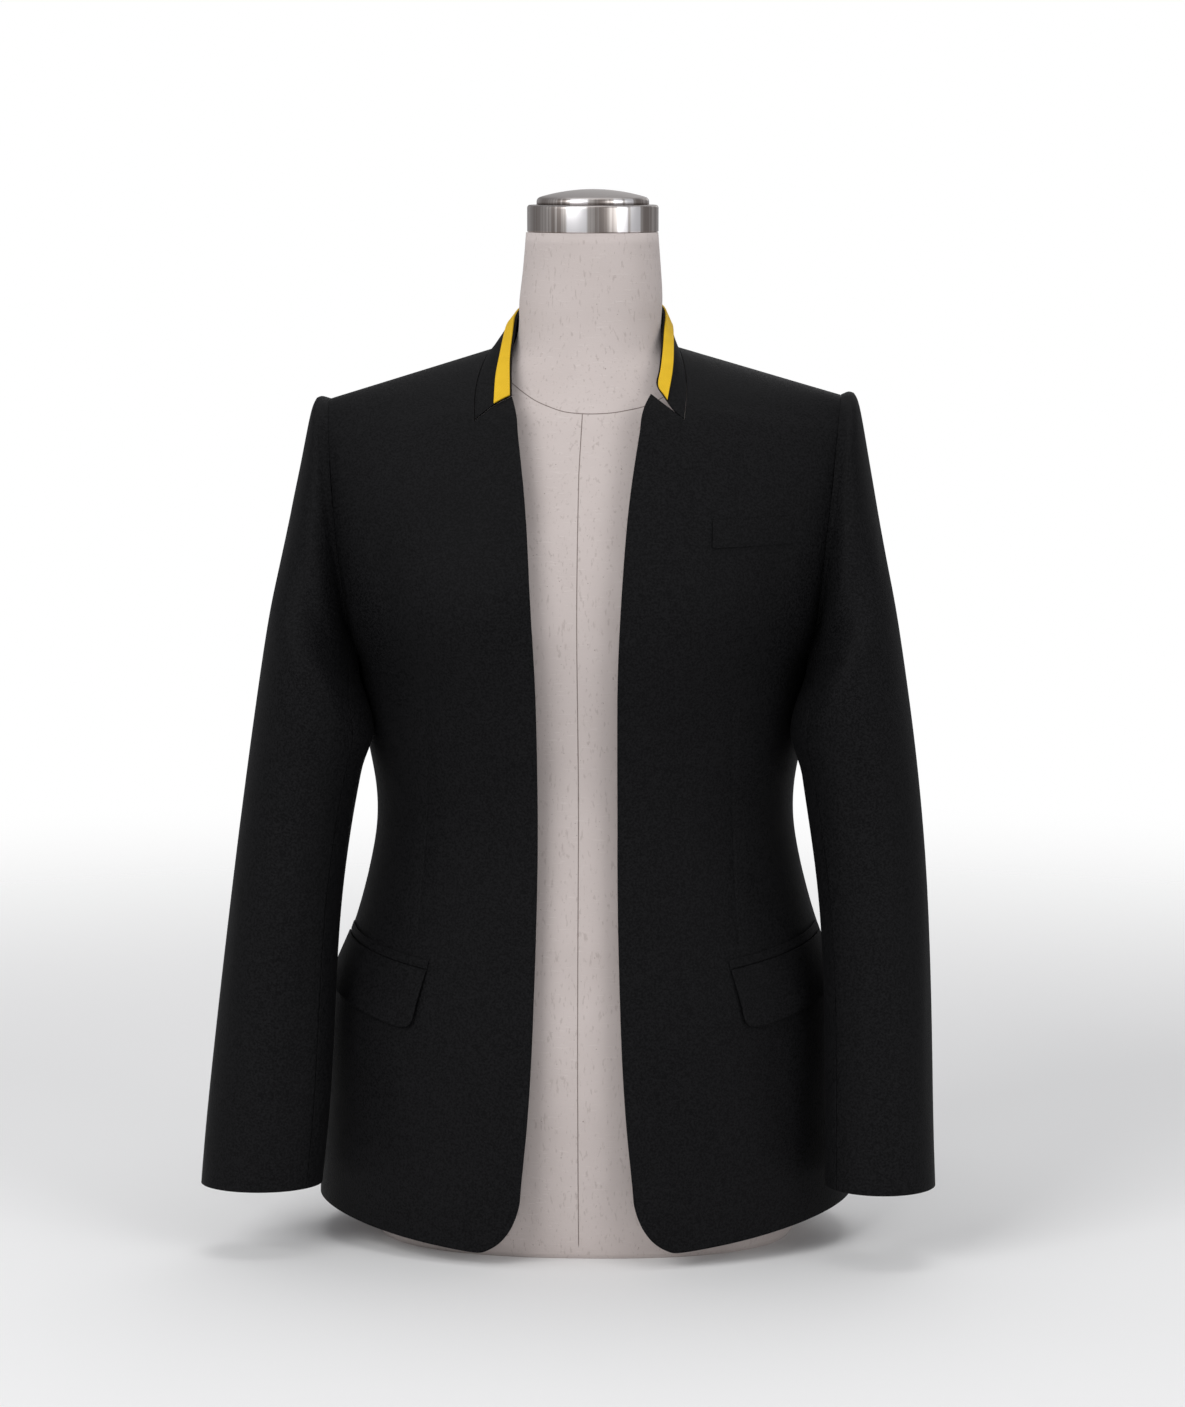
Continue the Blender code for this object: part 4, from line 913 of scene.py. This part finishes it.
def stitched(name, paths, finish):
    """Short stitches along paths of points, from one tree of Geometry Nodes."""
    tree = bpy.data.node_groups.new(name, "GeometryNodeTree")
    sockets = {}
    tree.interface.new_socket("Geometry", in_out="INPUT", socket_type="NodeSocketGeometry")
    for label, kind in (("Stitch pitch", "Float"), ("Stitch length", "Float"),
                        ("Thread radius", "Float"), ("Thread", "Material")):
        sockets[label] = tree.interface.new_socket(label, in_out="INPUT",
                                                   socket_type="NodeSocket" + kind)
    tree.interface.new_socket("Geometry", in_out="OUTPUT", socket_type="NodeSocketGeometry")
    given, result, spots, bead, size, sewn, plain, dressed = (tree.nodes.new(kind) for kind in (
        "NodeGroupInput", "NodeGroupOutput", "GeometryNodeCurveToPoints", "GeometryNodeMeshUVSphere",
        "ShaderNodeCombineXYZ", "GeometryNodeInstanceOnPoints", "GeometryNodeRealizeInstances",
        "GeometryNodeSetMaterial"))
    spots.mode = "LENGTH"
    bead.inputs["Segments"].default_value = 8
    bead.inputs["Rings"].default_value = 6
    bead.inputs["Radius"].default_value = 1.0
    link = tree.links.new
    link(given.outputs["Geometry"], spots.inputs["Curve"])
    link(given.outputs["Stitch pitch"], spots.inputs["Length"])
    for axis, label in (("X", "Thread radius"), ("Y", "Thread radius"), ("Z", "Stitch length")):
        link(given.outputs[label], size.inputs[axis])
    link(spots.outputs["Points"], sewn.inputs["Points"])
    link(spots.outputs["Rotation"], sewn.inputs["Rotation"])
    link(bead.outputs["Mesh"], sewn.inputs["Instance"])
    link(size.outputs["Vector"], sewn.inputs["Scale"])
    link(sewn.outputs["Instances"], plain.inputs["Geometry"])
    link(plain.outputs["Geometry"], dressed.inputs["Geometry"])
    link(given.outputs["Thread"], dressed.inputs["Material"])
    link(dressed.outputs["Geometry"], result.inputs["Geometry"])
    piece = wire_piece(name, paths)
    stitches = piece.modifiers.new("stitches", "NODES")
    stitches.node_group = tree
    for label, value in (("Stitch pitch", STITCH_PITCH), ("Stitch length", STITCH_LENGTH / 2),
                         ("Thread radius", THREAD_RADIUS), ("Thread", finish)):
        stitches[sockets[label].identifier] = value
    return add_piece(name, made_plain(piece), finish)


yellow_weave = ribbon_finish()
wear(collar_piece("collar_band", PRESSED_EDGE, wool_suiting, wool_suiting), "collar_band")
wear(collar_piece("collar_strip", STRIP_EDGE, yellow_weave, yellow_weave), "collar_strip")
strip_stitches = stitched("strip_stitches", stitch_lines(), thread_finish())
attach(strip_stitches, "root")


# ============================================================ pockets
# Each slanted hip pocket has a narrow jet along its opening and a lined flap that hangs from it.
# The breast pocket, on the wearer's left only, has a plain sewn-down welt.
POCKET_EDGE = 0.00040
FLAP_CORNER = 60.0          # the flap's lower front corner turns in two steps of less than this
# Share kept of each piece's stand-off from the front.
PRESSED_TO = {"hip_flap": 0.95, "hip_jet": 0.60, "breast_welt": 0.60}


def pocket_piece(node, front):
    """A pocket piece, pressed down towards the front that it is sewn on."""
    data = smoothed(node, cloth_cage(node, FLAP_CORNER), CLOTH_LEVELS)
    points = crease_body(points_of(data))
    share = next(kept for name, kept in PRESSED_TO.items() if node.startswith(name))
    for k, point in enumerate(points):
        under = front.find_nearest(point)[0]
        points[k] = under + (Vector(point) - under) * share
    move_points(data, points)
    x, y, z = points.T
    lay_grain(data, np.arctan2(x, -y) * BODY_GIRTH_RADIUS, z)
    return rolled(node + "_cloth", data, POCKET_EDGE, wool_suiting, wool_suiting)


graph = bpy.context.evaluated_depsgraph_get()
for arm in ("right", "left"):
    panel = f"front_{arm}_panel"
    front = BVHTree.FromObject(bpy.data.objects[panel], graph)
    wear(pocket_piece(f"hip_flap_{arm}", front), f"hip_flap_{arm}")
    wear(pocket_piece(f"hip_jet_{arm}", front), f"hip_jet_{arm}")
wear(pocket_piece("breast_welt", front), "breast_welt")


# ============================================================ studio
# A pale floor that fades into a white surround, six soft lamps and the camera. Each lamp has its
# name, its place, its size and its power in watts.
FLOOR_RADIUS = 2.4
FLOOR_CLEAR = (0.7, 2.2)    # the floor fades out between these distances
CAMERA_AXIS = 0.0058        # x of the upright line that the camera turns round
CAMERA_DISTANCE = 3.2
CAMERA_HEIGHT = 0.841
CAMERA_PITCH = 7.6          # degrees down
CAMERA_TURN = 2.7           # degrees round, to the wearer's left
CAMERA_LENS = 106.87
LAMPS = (
    ("key", (-1.9, -2.6, 2.3), (2.0, 2.0), 66.0),
    ("fill", (2.3, -2.3, 1.5), (1.6, 2.4), 33.0),
    ("left side", (-2.8, -1.3, 1.9), (1.2, 1.6), 4.0),
    ("right side", (2.8, -1.3, 1.9), (1.2, 1.6), 4.0),
    ("top", (0.0, 0.3, 3.0), (2.0, 2.0), 25.0),
    ("rear", (0.6, 2.8, 1.9), (2.2, 1.6), 9.0),
)
LAMP_AIM = (0.0, 0.0, 0.42)
LIGHT_OF_ROOM = (0.35, 0.35, 0.36, 1.0)     # light that the surround gives
SEEN_BEHIND = (1.0, 1.0, 1.0, 1.0)          # and what the camera sees of it


def floor_finish():
    pale = Finish("pale_floor", Base_Color=(0.86, 0.86, 0.86, 1.0), Roughness=0.9,
                  Specular_IOR_Level=0.1)
    away = pale.add("VectorMath", {0: pale.place()}, out=1, operation="LENGTH")
    clear = pale.step(away, *FLOOR_CLEAR)
    through = pale.add("BsdfTransparent")
    mixed = pale.add("MixShader", {0: clear, 1: Wire(pale, pale.shader.outputs[0]), 2: through})
    pale.tree.links.new(mixed.socket, pale.tree.nodes["Material Output"].inputs["Surface"])
    return pale.material


disc = bpy.data.meshes.new("floor")
mesh = bmesh.new()
bmesh.ops.create_circle(mesh, cap_ends=True, segments=96, radius=FLOOR_RADIUS)
mesh.to_mesh(disc)
mesh.free()
add_piece("floor", disc, floor_finish())

surround = bpy.data.worlds.new("surround")
bpy.context.scene.world = surround
surround.use_nodes = True
sky = surround.node_tree
seen = sky.nodes.new("ShaderNodeLightPath")
shade = sky.nodes.new("ShaderNodeMix")
shade.data_type = "RGBA"
shade.inputs[6].default_value = LIGHT_OF_ROOM
shade.inputs[7].default_value = SEEN_BEHIND
sky.links.new(seen.outputs["Is Camera Ray"], shade.inputs[0])
sky.links.new(shade.outputs[2], sky.nodes["Background"].inputs["Color"])

for name, spot, size, power in LAMPS:
    lamp = bpy.data.lights.new(name, "AREA")
    lamp.shape = "RECTANGLE"
    lamp.size, lamp.size_y = size
    lamp.energy = power
    holder = bpy.data.objects.new(name, lamp)
    holder.location = spot
    aim = Vector(LAMP_AIM) - holder.location
    holder.rotation_euler = aim.to_track_quat("-Z", "Y").to_euler()
    holder.visible_camera = False
    bpy.context.scene.collection.objects.link(holder)

lens = bpy.data.cameras.new("camera")
lens.lens = CAMERA_LENS
camera = bpy.data.objects.new("camera", lens)
turn = math.radians(CAMERA_TURN)
camera.location = (CAMERA_AXIS + math.sin(turn) * CAMERA_DISTANCE,
                   -math.cos(turn) * CAMERA_DISTANCE, CAMERA_HEIGHT)
camera.rotation_euler = (math.radians(90.0 - CAMERA_PITCH), 0.0, turn)
bpy.context.scene.collection.objects.link(camera)
bpy.context.scene.camera = camera
bpy.context.scene.view_settings.view_transform = "Standard"
